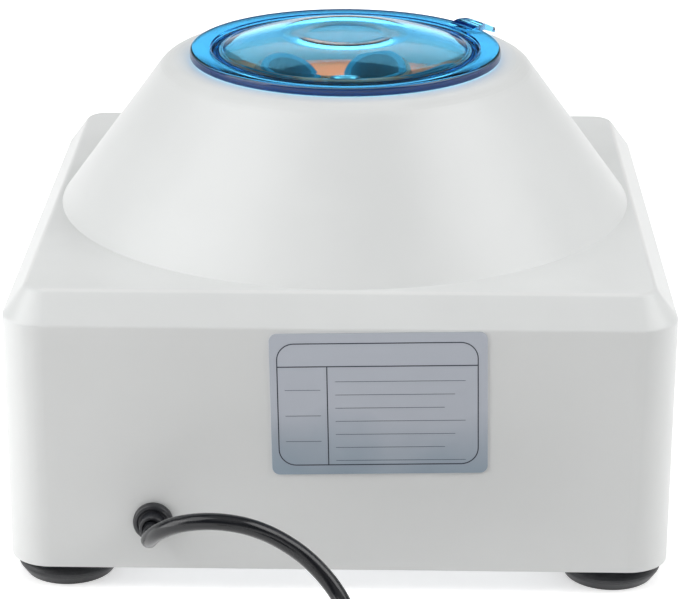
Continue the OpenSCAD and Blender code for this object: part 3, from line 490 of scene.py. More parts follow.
@dataclass(frozen=True)
class Metal(Finish):
    """Bare or plated metal with the marks of how it was made."""

    lay: Lay = Lay.CAST
    mark_mm: float = 2.0
    mark_depth: float = 0.01
    stain: float = 0.12
    metallic: float = 1.0

    def shade(self, nodes: Nodes, shader: bpy.types.Node) -> None:
        """Tool marks in the normal and gloss, faint stains in the colour."""
        marks = nodes.noise(self.mark_mm, 3.0, self.lay.value)
        stain = nodes.noise(9.0, 4.0)
        tone = nodes.ramp(nodes.sum(stain, marks, 0.3), [(0.45, self.tone(1 - self.stain)), (0.8, self.tone(1.05))])
        nodes.link(tone, shader.inputs["Base Color"])
        nodes.link(nodes.spread(nodes.sum(marks, stain, 0.5), self.roughness - 0.07, self.roughness + 0.1, 0.5, 1.0),
                   shader.inputs["Roughness"])
        nodes.link(nodes.bump(marks, self.mark_depth), shader.inputs["Normal"])
        shader.inputs["Metallic"].default_value = self.metallic


@dataclass(frozen=True)
class ClearAcrylic(Finish):
    """Clear tinted plastic: the tint lies in the body, and the upright side of the rim gets a painted dark shade."""

    surface: Colour = (0.97, 0.985, 1.0)
    # edge: colour of the painted dark shade on the rim's upright side
    edge: Colour = (0.5, 0.5, 0.5)
    edge_r: float = 64.6
    tint_per_m: float = 150.0
    haze: float = 0.03

    def edge_share(self, nodes: Nodes) -> bpy.types.NodeSocket:
        """1 on the upright side of the rim, where a painted dark shade stands for looking along the whole flange, and 0
        elsewhere.
        """
        centred = nodes.add("ShaderNodeVectorMath", operation="MULTIPLY_ADD")
        centred.inputs[1].default_value = (1.0, 1.0, 0.0)
        centred.inputs[2].default_value = (0.0, -AXIS_Y * MM, 0.0)
        nodes.link(nodes.coords.outputs["Object"], centred.inputs[0])
        radius = nodes.add("ShaderNodeVectorMath", operation="LENGTH")
        nodes.link(centred.outputs["Vector"], radius.inputs[0])
        rise = nodes.spread(radius.outputs["Value"], 0.0, 1.0, (self.edge_r - 0.7) * MM, (self.edge_r - 0.1) * MM)
        fall = nodes.spread(radius.outputs["Value"], 1.0, 0.0, (self.edge_r + 0.1) * MM, (self.edge_r + 0.5) * MM)
        both = nodes.add("ShaderNodeMath", operation="MULTIPLY")
        nodes.link(rise, both.inputs[0])
        nodes.link(fall, both.inputs[1])
        return both.outputs[0]

    def shade(self, nodes: Nodes, shader: bpy.types.Node) -> None:
        """Glass with absorption, a painted dark shade on the rim's side, and a clear way for light from the lamps."""
        edge_share = self.edge_share(nodes)
        # painted shade: the rim's side gets a dark blue colour and less transmission
        nodes.link(nodes.mixed(edge_share, self.surface, self.edge), shader.inputs["Base Color"])
        nodes.link(nodes.spread(edge_share, 1.0, 0.3, 0.0, 1.0), shader.inputs["Transmission Weight"])
        shader.inputs["IOR"].default_value = 1.49
        smear = nodes.noise(30.0, 3.0)
        nodes.link(nodes.spread(smear, self.haze * 0.5, self.haze * 1.8), shader.inputs["Roughness"])
        nodes.link(nodes.bump(nodes.noise(16.0, 1.0), 0.05, 0.12), shader.inputs["Normal"])
        absorb = nodes.add("ShaderNodeVolumeAbsorption")
        absorb.inputs["Color"].default_value = (*self.colour, 1.0)
        absorb.inputs["Density"].default_value = self.tint_per_m
        rays = nodes.add("ShaderNodeLightPath")
        clear = nodes.add("ShaderNodeBsdfTransparent")
        clear.inputs["Color"].default_value = (0.98, 0.98, 0.98, 1.0)
        mix = nodes.add("ShaderNodeMixShader")
        output = nodes.tree.nodes["Material Output"]
        nodes.link(rays.outputs["Is Shadow Ray"], mix.inputs[0])
        nodes.link(shader.outputs[0], mix.inputs[1])
        nodes.link(clear.outputs[0], mix.inputs[2])
        nodes.link(mix.outputs[0], output.inputs["Surface"])
        nodes.link(absorb.outputs[0], output.inputs["Volume"])


@dataclass(frozen=True)
class PrintedFoil(Finish):
    """Silver-blue label foil, lighter at its top and deeper blue towards its foot."""

    low_z: float = 50.8
    high_z: float = 110.4
    foot_colour: Colour = (0.30, 0.37, 0.44)

    def shade(self, nodes: Nodes, shader: bpy.types.Node) -> None:
        """A soft vertical gradient with fine foil grain."""
        split = nodes.add("ShaderNodeSeparateXYZ")
        nodes.link(nodes.coords.outputs["Object"], split.inputs[0])
        cloud = nodes.noise(26.0, 2.0)
        height = nodes.spread(split.outputs["Z"], 0.0, 1.0, self.low_z * MM, self.high_z * MM)
        base = nodes.ramp(nodes.sum(height, cloud, 0.35),
                          [(0.18, self.foot_colour), (0.62, self.colour), (1.0, self.tone(0.97))])
        nodes.link(base, shader.inputs["Base Color"])
        grain = nodes.noise(0.35, 2.0)
        nodes.link(nodes.spread(grain, self.roughness - 0.06, self.roughness + 0.08), shader.inputs["Roughness"])
        nodes.link(nodes.bump(grain, 0.006), shader.inputs["Normal"])
        shader.inputs["Metallic"].default_value = 0.35


@dataclass(frozen=True)
class PrintInk(Finish):
    """Screen-printed ink, a little uneven."""

    def shade(self, nodes: Nodes, shader: bpy.types.Node) -> None:
        """Slightly broken tone at the scale of the screen."""
        speck = nodes.noise(0.6, 2.0)
        nodes.link(nodes.ramp(speck, [(0.3, self.tone(0.85)), (0.7, self.tone(1.12))]), shader.inputs["Base Color"])
        nodes.link(nodes.bump(speck, 0.004), shader.inputs["Normal"])


@dataclass(frozen=True)
class Winding(Finish):
    """Enamelled copper wire, wound in rows."""

    wire_mm: float = 0.8

    def shade(self, nodes: Nodes, shader: bpy.types.Node) -> None:
        """Rows of wire as a wave, with painted shade in the grooves between rows and varnish over them."""
        wave = nodes.add("ShaderNodeTexWave", wave_type="BANDS", bands_direction="X", wave_profile="SIN")
        wave.inputs["Scale"].default_value = 1 / (self.wire_mm * MM) / 3.2
        wave.inputs["Distortion"].default_value = 0.6
        nodes.link(nodes.coords.outputs["Object"], wave.inputs["Vector"])
        # the dark end of the ramp is painted shade between the wire rows
        nodes.link(nodes.ramp(wave.outputs["Fac"], [(0.0, self.tone(0.35)), (0.8, self.colour)]),
                   shader.inputs["Base Color"])
        nodes.link(nodes.bump(wave.outputs["Fac"], 0.2), shader.inputs["Normal"])
        shader.inputs["Metallic"].default_value = 0.7
        shader.inputs["Coat Weight"].default_value = 0.5


class Palette:
    """Every finish of this centrifuge."""

    # the large edge share paints a highlight along the white shell's edges
    white_shell = MouldedPlastic("white_abs_shell", (0.80, 0.815, 0.81), 0.34, grain_mm=0.7, grain_depth=0.01,
                                 mottle=0.012, rubbed=0.3)
    white_bowl = MouldedPlastic("white_chamber_plastic", (0.80, 0.81, 0.80), 0.42, mottle=0.02)
    # edge= is the colour of the painted dark shade on the lid rim's side
    clear_blue = ClearAcrylic("clear_blue_acrylic", (0.08, 0.66, 0.90), 0.03, surface=(0.55, 0.88, 0.93),
                              edge=(0.0, 0.045, 0.2), tint_per_m=215.0)
    orange_rotor = MouldedPlastic("orange_rotor_plastic", (0.90, 0.19, 0.05), 0.42, grain_mm=0.9, mottle=0.05,
                                  rubbed=0.12)
    teal_sleeve = MouldedPlastic("teal_sleeve_plastic", (0.03, 0.20, 0.27), 0.3, mottle=0.05, rubbed=0.2)
    black_rubber = Rubber("black_foot_rubber", (0.012, 0.013, 0.017), 0.42, dust=0.05)
    damper_rubber = Rubber("damper_rubber", (0.02, 0.02, 0.021), 0.6, dust=0.1)
    cord_vinyl = Rubber("black_cord_vinyl", (0.010, 0.011, 0.014), 0.2, grain_mm=1.4, dust=0.015)
    black_nylon = MouldedPlastic("black_nylon", (0.016, 0.017, 0.021), 0.36, mottle=0.05, rubbed=0.04)
    knob_plastic = MouldedPlastic("dark_knob_plastic", (0.022, 0.023, 0.027), 0.34, mottle=0.05, rubbed=0.06)
    switch_plastic = MouldedPlastic("black_switch_plastic", (0.014, 0.014, 0.016), 0.3, mottle=0.04, rubbed=0.05)
    red_rocker = MouldedPlastic("red_rocker_plastic", (0.48, 0.012, 0.012), 0.22, mottle=0.03, coat=0.3)
    foil = PrintedFoil("silver_blue_foil", (0.50, 0.53, 0.59), 0.42)
    dark_ink = PrintInk("dark_print_ink", (0.03, 0.035, 0.055), 0.55)
    grey_ink = PrintInk("grey_print_ink", (0.12, 0.14, 0.18), 0.55)
    white_ink = PrintInk("white_print_ink", (0.78, 0.78, 0.76), 0.5)
    zinc = Metal("zinc_plate", (0.66, 0.67, 0.69), 0.36, Lay.CAST, 1.2, 0.006, 0.15)
    sheet_steel = Metal("zinc_coated_sheet", (0.58, 0.60, 0.62), 0.4, Lay.ROLLED, 1.6, 0.01, 0.18)
    turned_steel = Metal("turned_steel", (0.60, 0.60, 0.61), 0.26, Lay.TURNED, 1.0, 0.008, 0.08)
    bearing_steel = Metal("bearing_steel", (0.55, 0.56, 0.58), 0.2, Lay.TURNED, 0.8, 0.006, 0.06)
    cast_alloy = Metal("cast_motor_alloy", (0.38, 0.40, 0.42), 0.5, Lay.CAST, 1.1, 0.05, 0.15)
    casing_steel = Metal("motor_casing_steel", (0.42, 0.44, 0.46), 0.38, Lay.TURNED, 1.5, 0.01, 0.12)
    core_steel = Metal("laminated_core", (0.25, 0.26, 0.27), 0.45, Lay.STACKED, 0.5, 0.08, 0.2)
    armature_steel = Metal("wound_armature", (0.35, 0.17, 0.08), 0.45, Lay.STACKED, 0.5, 0.08, 0.25)
    copper = Metal("commutator_copper", (0.74, 0.36, 0.2), 0.3, Lay.TURNED, 0.8, 0.02, 0.15)
    carbon = Metal("brush_carbon", (0.04, 0.04, 0.042), 0.5, Lay.CAST, 0.7, 0.01, 0.2, metallic=0.3)
    brass = Metal("plug_brass", (0.72, 0.55, 0.26), 0.25, Lay.ROLLED, 0.8, 0.006, 0.08)
    anodised = Metal("heat_sink_alloy", (0.50, 0.52, 0.54), 0.42, Lay.ROLLED, 0.9, 0.01, 0.1)
    winding = Winding("enamelled_winding", (0.62, 0.24, 0.09), 0.35)
    phenolic = MouldedPlastic("brown_phenolic", (0.10, 0.055, 0.03), 0.35, mottle=0.12, rubbed=0.05)
    green_board = MouldedPlastic("green_board", (0.03, 0.16, 0.07), 0.3, grain_mm=1.5, mottle=0.12, rubbed=0.05,
                                 coat=0.4)
    cream_plastic = MouldedPlastic("cream_plastic", (0.70, 0.67, 0.58), 0.4, mottle=0.04)
    fan_plastic = MouldedPlastic("pale_fan_plastic", (0.62, 0.64, 0.65), 0.42, mottle=0.05)
    yellow_case = MouldedPlastic("yellow_capacitor_case", (0.62, 0.45, 0.06), 0.35, mottle=0.05)


@dataclass
class Frame:
    """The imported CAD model, and the finishes that its nodes carry."""

    nodes: dict[str, bpy.types.Object]
    finishes: dict[str, Finish] = field(default_factory=lambda: {
        "housing_shell": Palette.white_shell,
        "bottom_plate": Palette.sheet_steel,
        "foot_screws": Palette.zinc,
        "chamber_bowl": Palette.white_bowl,
        "bowl_screws": Palette.zinc,
        "rating_plate": Palette.foil,
        "strain_relief_ring": Palette.black_nylon,
        "motor_bracket": Palette.sheet_steel,
        "dampers": Palette.damper_rubber,
        "damper_bolts": Palette.zinc,
        "damper_nuts": Palette.zinc,
        "motor_casing": Palette.casing_steel,
        "motor_lower_cap": Palette.cast_alloy,
        "motor_upper_cap": Palette.cast_alloy,
        "lower_bearing": Palette.bearing_steel,
        "upper_bearing": Palette.bearing_steel,
        "field_core": Palette.core_steel,
        "field_coils": Palette.winding,
        "carbon_brushes": Palette.carbon,
        "brush_holders": Palette.phenolic,
        "motor_shaft": Palette.turned_steel,
        "armature": Palette.armature_steel,
        "commutator": Palette.copper,
        "cooling_fan": Palette.fan_plastic,
        "rotor_head": Palette.orange_rotor,
        "rotor_washer": Palette.turned_steel,
        "rotor_nut": Palette.turned_steel,
        "timer_unit": Palette.cream_plastic,
        "speed_control": Palette.cast_alloy,
        "control_nuts": Palette.zinc,
        "timer_shaft": Palette.turned_steel,
        "speed_shaft": Palette.turned_steel,
        "timer_knob": Palette.knob_plastic,
        "speed_knob": Palette.knob_plastic,
        "switch_frame": Palette.switch_plastic,
        "power_rocker": Palette.red_rocker,
        "control_board": Palette.green_board,
        "board_posts": Palette.cream_plastic,
        "board_screws": Palette.zinc,
        "heat_sink": Palette.anodised,
        "filter_capacitor": Palette.yellow_case,
        "terminal_block": Palette.cream_plastic,
        **{f"suction_foot_{i}": Palette.black_rubber for i in range(1, 5)},
        **{f"tube_sleeve_{i}": Palette.teal_sleeve for i in range(1, 7)},
    })

    def dress(self) -> None:
        """Gives every CAD node that stays in view its finish."""
        for name, finish in self.finishes.items():
            node = self.nodes[name]
            node.data.materials.clear()
            node.data.materials.append(finish.material())
            LOG.info("%s: CAD node in %s", name, finish.name)


@dataclass
class Lid:
    """Clear blue lid: rim, skirt, shallow groove, dome with a soft dish, and a finger tab."""

    seat_z: float = 183.4
    rim_r: float = 64.6
    rim_t: float = 3.7
    shell_t: float = 2.5
    dome_r: float = 50.0
    dome_h: float = 8.6
    dish_r: float = 24.0
    dish_d: float = 1.0
    soft_r: float = 24.0
    groove_d: float = 0.5
    groove_w: float = 5.6
    skirt_r: float = 55.6
    skirt_h: float = 6.0
    tab_l: float = 12.4
    tab_w: float = 16.0
    tab_tip_w: float = 5.6
    tab_angle: float = 215.0

    def dome_z(self, r: float) -> float:
        """Height of the dome's sphere at a radius, above the lid's seat."""
        arc_r = (self.dome_r**2 + self.dome_h**2) / (2 * self.dome_h)
        return self.rim_t + self.dome_h - arc_r + math.sqrt(arc_r**2 - r**2)

    def outline(self) -> list[Point2]:
        """The half section of the lid, as radius and height above its seat."""
        top, land = self.rim_t, self.rim_t - self.groove_d
        skirt_in = self.skirt_r - self.shell_t
        dish_z = self.dome_z(self.dish_r) - self.dish_d
        floor_r = self.dish_r * 0.72
        steps = 18
        out_step = (self.dome_r - 2 - self.dish_r) / steps
        in_step = (self.dome_r - 3 - self.dish_r) / steps
        path: list[Sequence[float]] = [(0, dish_z), (floor_r, dish_z, self.soft_r),
                                       (self.dish_r, self.dome_z(self.dish_r), self.soft_r)]
        path += [(r, self.dome_z(r)) for r in (self.dish_r + out_step * i for i in range(4, steps + 1))]
        path += [(self.dome_r + 1.2, land, 6), (self.dome_r + self.groove_w, land, 0.3),
                 (self.dome_r + self.groove_w + 0.5, top, 0.3), (self.rim_r, top, 1.2), (self.rim_r, 0, 0.8),
                 (self.skirt_r, 0, 0.3), (self.skirt_r, -self.skirt_h, 0.8), (skirt_in, -self.skirt_h, 0.8),
                 (skirt_in, land - self.shell_t, 0.8), (self.dome_r + 0.4, land - self.shell_t, 3)]
        path += [(r, self.dome_z(r) - self.shell_t)
                 for r in (self.dish_r + in_step * i for i in range(steps, 3, -1))]
        path += [(self.dish_r, self.dome_z(self.dish_r) - self.shell_t, self.soft_r - self.shell_t),
                 (floor_r, dish_z - self.shell_t, self.soft_r + self.shell_t), (0, dish_z - self.shell_t)]
        return fillet_path(path, 12)

    def tab(self) -> bpy.types.Object:
        """The finger tab: a curved side profile cut to a waisted plan."""
        root, tip, r = self.rim_r - 5.5, self.rim_r + self.tab_l, self.rim_r
        half, end = self.tab_w / 2, self.tab_tip_w / 2
        side = fillet_path([(root, 0.6), (root, self.rim_t - 0.3, 0.3), (root + 4, self.rim_t + 1.3, 4),
                            (r + 3.4, self.rim_t + 1.5, 7), (tip, 0.9, 1.0), (tip - 1.2, -0.8, 0.8),
                            (r + 2.6, self.rim_t - 1.3, 4), (r - 1.0, self.rim_t - 1.5, 1.0), (r - 1.5, 0.6)], 8)
        plan = fillet_path([(root, -half, 2), (root, half, 2), (r + 1.5, half - 1, 5), (r + 5, end + 0.8, 5),
                            (tip, end, end * 0.9), (tip, -end, end * 0.9), (r + 5, -end - 0.8, 5),
                            (r + 1.5, 1 - half, 5)], 8)
        upright = Draft()
        upright.prism(side, -half - 1, half + 1)
        upright.place(Matrix.Rotation(math.radians(90), 4, "X"))
        flat = Draft()
        flat.prism(plan, -20, 20)
        turn = Matrix.Translation((0, AXIS_Y, self.seat_z)) @ Matrix.Rotation(math.radians(self.tab_angle), 4, "Z")
        upright.place(turn)
        flat.place(turn)
        return combine(upright.solid("tab"), flat.solid("tab_plan"), "INTERSECT")

    def build(self) -> bpy.types.Object:
        """Turns the lid in one clear piece and joins its finger tab to it."""
        draft = Draft()
        draft.lathe([(r, z + self.seat_z) for r, z in self.outline()], (0.0, AXIS_Y), 256)
        lid = combine(draft.solid("clear_lid"), self.tab(), "UNION")
        dressed(lid, Palette.clear_blue, Body.LID, 34.0)
        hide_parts("lid")
        return lid


@dataclass
class RatingPlate:
    """Printed lines on the bare rating plate: a border, a heading line, a column line and blank fields."""

    centre: Point2 = (-15.5, 80.6)
    face_y: float = 139.7
    lean: float = 1.2
    width: float = 83.0
    height: float = 58.0
    border: tuple[float, float, float, float] = (2.6, 3.4, 3.8, 3.7)
    corner_r: float = 6.8
    line_w: float = 0.42
    ink_t: float = 0.05
    heading_drop: float = 13.4
    column: float = 21.8
    rows: int = 7
    row_pitch: float = 5.45
    first_row: float = 19.6

    def local(self, draft: Draft, first: int) -> None:
        """Turns what was drawn flat, with Y up the plate, on to the plate's face."""
        turn = Matrix.Rotation(math.radians(self.lean), 4, "Y")
        # seen from behind the machine, the plate's own left is +X
        stand = Matrix(((-1, 0, 0, 0), (0, 0, 1, 0), (0, 1, 0, 0), (0, 0, 0, 1)))
        place = Matrix.Translation((self.centre[0], self.face_y, self.centre[1]))
        draft.place(place @ turn @ stand, first)

    def border_line(self, draft: Draft) -> None:
        """The rounded border as one closed band."""
        left, right, top, bottom = self.border
        x0, x1 = -self.width / 2 + left, self.width / 2 - right
        y0, y1 = -self.height / 2 + bottom, self.height / 2 - top
        loops = []
        for inset in (0.0, self.line_w):
            r = self.corner_r - inset
            loops.append(fillet_path([(x0 + inset, y0 + inset, r), (x1 - inset, y0 + inset, r),
                                      (x1 - inset, y1 - inset, r), (x0 + inset, y1 - inset, r)], 10))
        rings = [draft.ring([(x, y, z) for x, y in loop]) for loop, z in
                 ((loops[0], -0.02), (loops[0], self.ink_t), (loops[1], self.ink_t), (loops[1], -0.02))]
        for a, b in zip(rings, rings[1:] + rings[:1]):
            draft.bridge(a, b)

    def bar(self, draft: Draft, x0: float, x1: float, y: float, w: float) -> None:
        """A straight printed line from x0 to x1 at height y."""
        draft.prism([(x0, y - w / 2), (x1, y - w / 2), (x1, y + w / 2), (x0, y + w / 2)], -0.02, self.ink_t)

    def build(self) -> None:
        """Draws the dark lines and the grey lines of the blank fields."""
        left, right, top, bottom = self.border
        x0, x1 = -self.width / 2 + left, self.width / 2 - right
        y0 = -self.height / 2 + bottom
        heading_y = self.height / 2 - self.heading_drop
        column_x = -self.width / 2 + self.column
        lines = Draft()
        self.border_line(lines)
        self.bar(lines, x0 + self.line_w, x1 - self.line_w, heading_y, self.line_w)
        half = self.line_w / 2
        lines.prism([(column_x - half, y0 + self.line_w), (column_x + half, y0 + self.line_w),
                     (column_x + half, heading_y - half), (column_x - half, heading_y - half)], -0.02, self.ink_t)
        self.local(lines, 0)
        lines.piece("rating_plate_lines", Palette.dark_ink, Body.BASE)
        fields = Draft()
        for i in range(self.rows):
            y = self.height / 2 - self.first_row - i * self.row_pitch
            self.bar(fields, column_x + 3.0, x1 - 5.0 - (i % 3) * 4.0, y, 0.2)
        for i in range(3):
            y = self.height / 2 - 23.0 - i * 10.6
            self.bar(fields, x0 + 3.0, column_x - 2.6, y, 0.2)
        self.local(fields, 0)
        fields.piece("rating_plate_fields", Palette.grey_ink, Body.BASE)


@dataclass
class Controls:
    """Printed scales round the two knobs, white pointers on them, and the marks of the rocker switch."""

    knob_x: float = 62.0
    face_y: float = -120.9
    middle_z: float = 57.76
    timer_sweep: float = 300.0
    speed_sweep: float = 270.0
    tick_in: float = 21.4
    tick_out: tuple[float, float] = (23.0, 24.4)
    number_r: float = 28.4
    number_h: float = 4.4
    line_w: float = 0.5
    ink_t: float = 0.06
    knob_front: float = 18.8
    pointer: tuple[float, float] = (4.2, 13.4)
    pointer_w: float = 1.4
    rocker_set: float = 3.0
    rocker_lean: float = 9.0
    rocker_half: float = 11.35
    rocker_face: tuple[float, float] = (3.2, 5.4)
    mark_t: float = 0.1
    mark_place: float = 0.6

    def on_front(self, x: float) -> Matrix:
        """Puts a drawing on the front, with its X to the right seen from there and its Y up."""
        return Matrix.Translation((x, self.face_y, self.middle_z)) @ Matrix.Rotation(math.radians(90), 4, "X")

    def bar(self, draft: Draft, angle: float, r0: float, r1: float, w: float) -> None:
        """A printed bar that points away from a knob's middle, by an angle clockwise from the top."""
        first = draft.count()
        draft.prism([(-w / 2, r0), (w / 2, r0), (w / 2, r1), (-w / 2, r1)], -0.02, self.ink_t)
        draft.place(Matrix.Rotation(math.radians(-angle), 4, "Z"), first)

    def number(self, text: str, angle: float, x: float) -> bpy.types.Object:
        """A printed number beside a scale, upright.

        Args:
            text: The number.
            angle: Its place, in degrees clockwise from the top.
            x: The middle of the scale.

        Returns:
            The number as a mesh in metres.
        """
        letters = bpy.data.curves.new("number", "FONT")
        letters.body = text
        letters.size = self.number_h
        letters.align_x, letters.align_y = "CENTER", "CENTER"
        letters.extrude = self.ink_t
        holder = bpy.data.objects.new("number", letters)
        bpy.context.scene.collection.objects.link(holder)
        view = bpy.context.evaluated_depsgraph_get()
        mesh = bpy.data.meshes.new_from_object(holder.evaluated_get(view))
        bpy.data.objects.remove(holder)
        a = math.radians(angle)
        place = Matrix.Translation((self.number_r * math.sin(a), self.number_r * math.cos(a), 0))
        mesh.transform(Matrix.Scale(MM, 4) @ self.on_front(x) @ place)
        made = bpy.data.objects.new("number", mesh)
        bpy.context.scene.collection.objects.link(made)
        return made

    def scale(self, name: str, x: float, numbers: Sequence[str], between: int, sweep: float) -> None:
        """A ring of ticks with numbers round a knob.

        Args:
            name: Name of the piece.
            x: The knob's place.
            numbers: What stands at the long ticks, from the first clockwise.
            between: Short ticks between two numbers.
            sweep: How far the knob turns, in degrees.
        """
        draft = Draft()
        count = (len(numbers) - 1) * (between + 1)
        for i in range(count + 1):
            self.bar(draft, sweep * i / count, self.tick_in, self.tick_out[i % (between + 1) == 0], self.line_w)
        draft.place(self.on_front(x))
        made = draft.solid(name)
        letters = [self.number(text, sweep * i / (len(numbers) - 1), x) for i, text in enumerate(numbers)]
        with bpy.context.temp_override(active_object=made, object=made, selected_editable_objects=[made, *letters]):
            bpy.ops.object.join()
        dressed(made, Palette.dark_ink, Body.BASE)

    def pointers(self) -> None:
        """A white line on each knob's raised bar."""
        for name, x, body in (("timer_pointer", -self.knob_x, Body.TIMER), ("speed_pointer", self.knob_x, Body.SPEED)):
            draft = Draft()
            half = self.pointer_w / 2
            low, high = self.pointer
            draft.prism(fillet_path([(-half, low, 0.6), (half, low, 0.6), (half, high, 0.6), (-half, high, 0.6)], 4),
                        self.knob_front - 0.02, self.knob_front + self.ink_t)
            draft.place(self.on_front(x))
            draft.piece(name, Palette.white_ink, body)

    def rocker_marks(self) -> None:
        """The line and the circle on the two halves of the rocker."""
        low, high = self.rocker_face
        slope = math.atan2(high - low, self.rocker_half)
        tip = (Matrix.Translation((0, 0, -self.rocker_set)) @ Matrix.Rotation(math.radians(self.rocker_lean), 4, "X"))
        draft = Draft()
        for side in (1, -1):
            first = draft.count()
            if side > 0:
                draft.prism([(-0.45, -2.0), (0.45, -2.0), (0.45, 2.0), (-0.45, 2.0)], -0.03, self.mark_t)
            else:
                steps = 32
                turns = [2 * math.pi * k / steps for k in range(steps)]
                rings = [draft.ring([(r * math.cos(a), r * math.sin(a), z) for a in turns])
                         for r, z in ((2.2, -0.03), (2.2, self.mark_t), (1.4, self.mark_t), (1.4, -0.03))]
                for a, b in zip(rings, rings[1:] + rings[:1]):
                    draft.bridge(a, b)
            place = (Matrix.Translation((0, side * self.rocker_half * self.mark_place,
                                         low + (high - low) * self.mark_place))
                     @ Matrix.Rotation(side * slope, 4, "X"))
            draft.place(tip @ place, first)
        draft.place(self.on_front(0.0))
        draft.piece("rocker_marks", Palette.white_ink, Body.ROCKER)

    def build(self) -> None:
        """Prints the scales, the pointers and the marks."""
        self.scale("timer_scale", -self.knob_x, [str(n) for n in range(0, 70, 10)], 4, self.timer_sweep)
        self.scale("speed_scale", self.knob_x, [str(n) for n in range(0, 10)], 1, self.speed_sweep)
        self.pointers()
        self.rocker_marks()


@dataclass
class MainsCord:
    """Black mains cord: out of the strain relief, down to the bench, a coil, and on to the plug."""

    radius: float = 3.25
    start: Point3 = (72.0, 147.1, 30.5)
    route: tuple[Point3, ...] = (
        (71.7, 160.8, 32.5), (70.1, 168.3, 37.2), (66.3, 174.6, 42.6), (60.2, 179.3, 47.3), (52.4, 182.3, 50.2),
        (43.6, 183.8, 51.1), (34.7, 183.6, 49.7), (26.6, 182.1, 46.2), (19.3, 180.3, 41.3), (12.3, 179.6, 35.7),
        (5.8, 180.8, 29.6), (0.1, 184.2, 23.5), (-4.1, 189.8, 18), (-6.6, 196.8, 13), (-6.9, 204.5, 8.4),
        (-6.5, 213, 5.3), (-6.7, 221.8, 3.8), (-6.9, 230.8, 3.3), (-7, 239.8, 3.25), (-7, 249, 3.25))
    plug_route: tuple[Point3, ...] = ((-5, 293, 8.5), (2, 305, 8), (12, 315, 9.5), (22, 323, 12))
    plug_at: Point3 = (34.0, 331.0, 12.5)
    plug_turn: float = -57.0
    coil_centre: Point2 = (-51.0, 264.0)
    coil_r: float = 26.0
    coil_pitch: float = 7.2
    coil_turns: int = 5
    coil_layer_h: float = 7.0

    def coil_point(self, t: float) -> Point3:
        """A point of the coil after t turns: in on the bench, out on top."""
        r = self.coil_r + self.coil_pitch * abs(t - self.coil_turns / 2)
        climb = max(0.0, min(1.0, (t - self.coil_turns / 2 + 0.25) * 2))
        rise = (1 - math.cos(math.pi * climb)) / 2
        a = 2 * math.pi * t
        return (self.coil_centre[0] + r * math.cos(a), self.coil_centre[1] + r * math.sin(a),
                self.radius + self.coil_layer_h * rise)

    def line(self) -> list[Vector]:
        """The whole way of the cord, smooth, in millimetres."""
        d = 2 * self.radius
        outer = self.coil_r + self.coil_pitch * self.coil_turns / 2
        edge_x = self.coil_centre[0] + outer
        coil_to = Vector((edge_x, self.coil_centre[1] + d, self.radius + self.coil_layer_h))
        turn = math.radians(-self.plug_turn)
        lead_in = Vector(self.plug_at) - d * Vector((math.sin(turn), math.cos(turn), 0))
        steps = 24
        points = [Vector(self.start), Vector(self.start) + Vector((0, d, 0)), *map(Vector, self.route),
                  Vector((edge_x, self.coil_centre[1] - d, self.radius)),
                  *(Vector(self.coil_point(i / steps)) for i in range(self.coil_turns * steps + 1)),
                  coil_to, coil_to + Vector((0, d, 0)), *map(Vector, self.plug_route), lead_in, Vector(self.plug_at)]
        return spline_through(points, 4)

    def build(self) -> None:
        line = [p * MM for p in self.line()]
        data = bpy.data.curves.new("mains_cord", "CURVE")
        data.dimensions = "3D"
        data.bevel_depth = self.radius * MM
        data.bevel_resolution = 6
        data.use_fill_caps = True
        spline = data.splines.new("POLY")
        spline.points.add(len(line) - 1)
        for point, place in zip(spline.points, line):
            point.co = (*place, 1.0)
        data.materials.append(Palette.cord_vinyl.material())
        cord = bpy.data.objects.new("mains_cord", data)
        bpy.context.scene.collection.objects.link(cord)
        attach(cord, Body.BASE.value)
        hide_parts("power_cord", "cord_coil", "plug_lead")
        relief = StrainRelief().build()
        plug = Plug(self.plug_at, self.plug_turn).build()
        tie = self.tie()

    def tie(self) -> bpy.types.Object:
        """The strap that holds the coil's turns together."""
        outer = self.coil_r + self.coil_pitch * self.coil_turns / 2
        low, high = 0.05, 2 * self.radius + self.coil_layer_h + 0.2
        inside = (-(outer + self.radius + 0.3), -(self.coil_r - self.radius - 0.3))
        strap_t, strap_w = 0.9, 9.0
        rings = []
        draft = Draft()
        for grow, side in ((0.0, -1), (strap_t, -1), (strap_t, 1), (0.0, 1)):
            bottom = low - min(grow, low)
            loop = fillet_path([(inside[0] - grow, bottom, 3), (inside[1] + grow, bottom, 3),
                                (inside[1] + grow, high + grow, 4), (inside[0] - grow, high + grow, 4)], 8)
            rings.append(draft.ring([(x, side * strap_w / 2, z) for x, z in loop]))
        for a, b in zip(rings, rings[1:] + rings[:1]):
            draft.bridge(a, b)
        turn = Matrix.Translation((*self.coil_centre, 0)) @ Matrix.Rotation(math.radians(205), 4, "Z")
        mirror = Matrix.Scale(-1, 4, (1, 0, 0))
        draft.place(turn @ mirror)
        return draft.piece("coil_strap", Palette.black_nylon, Body.BASE)


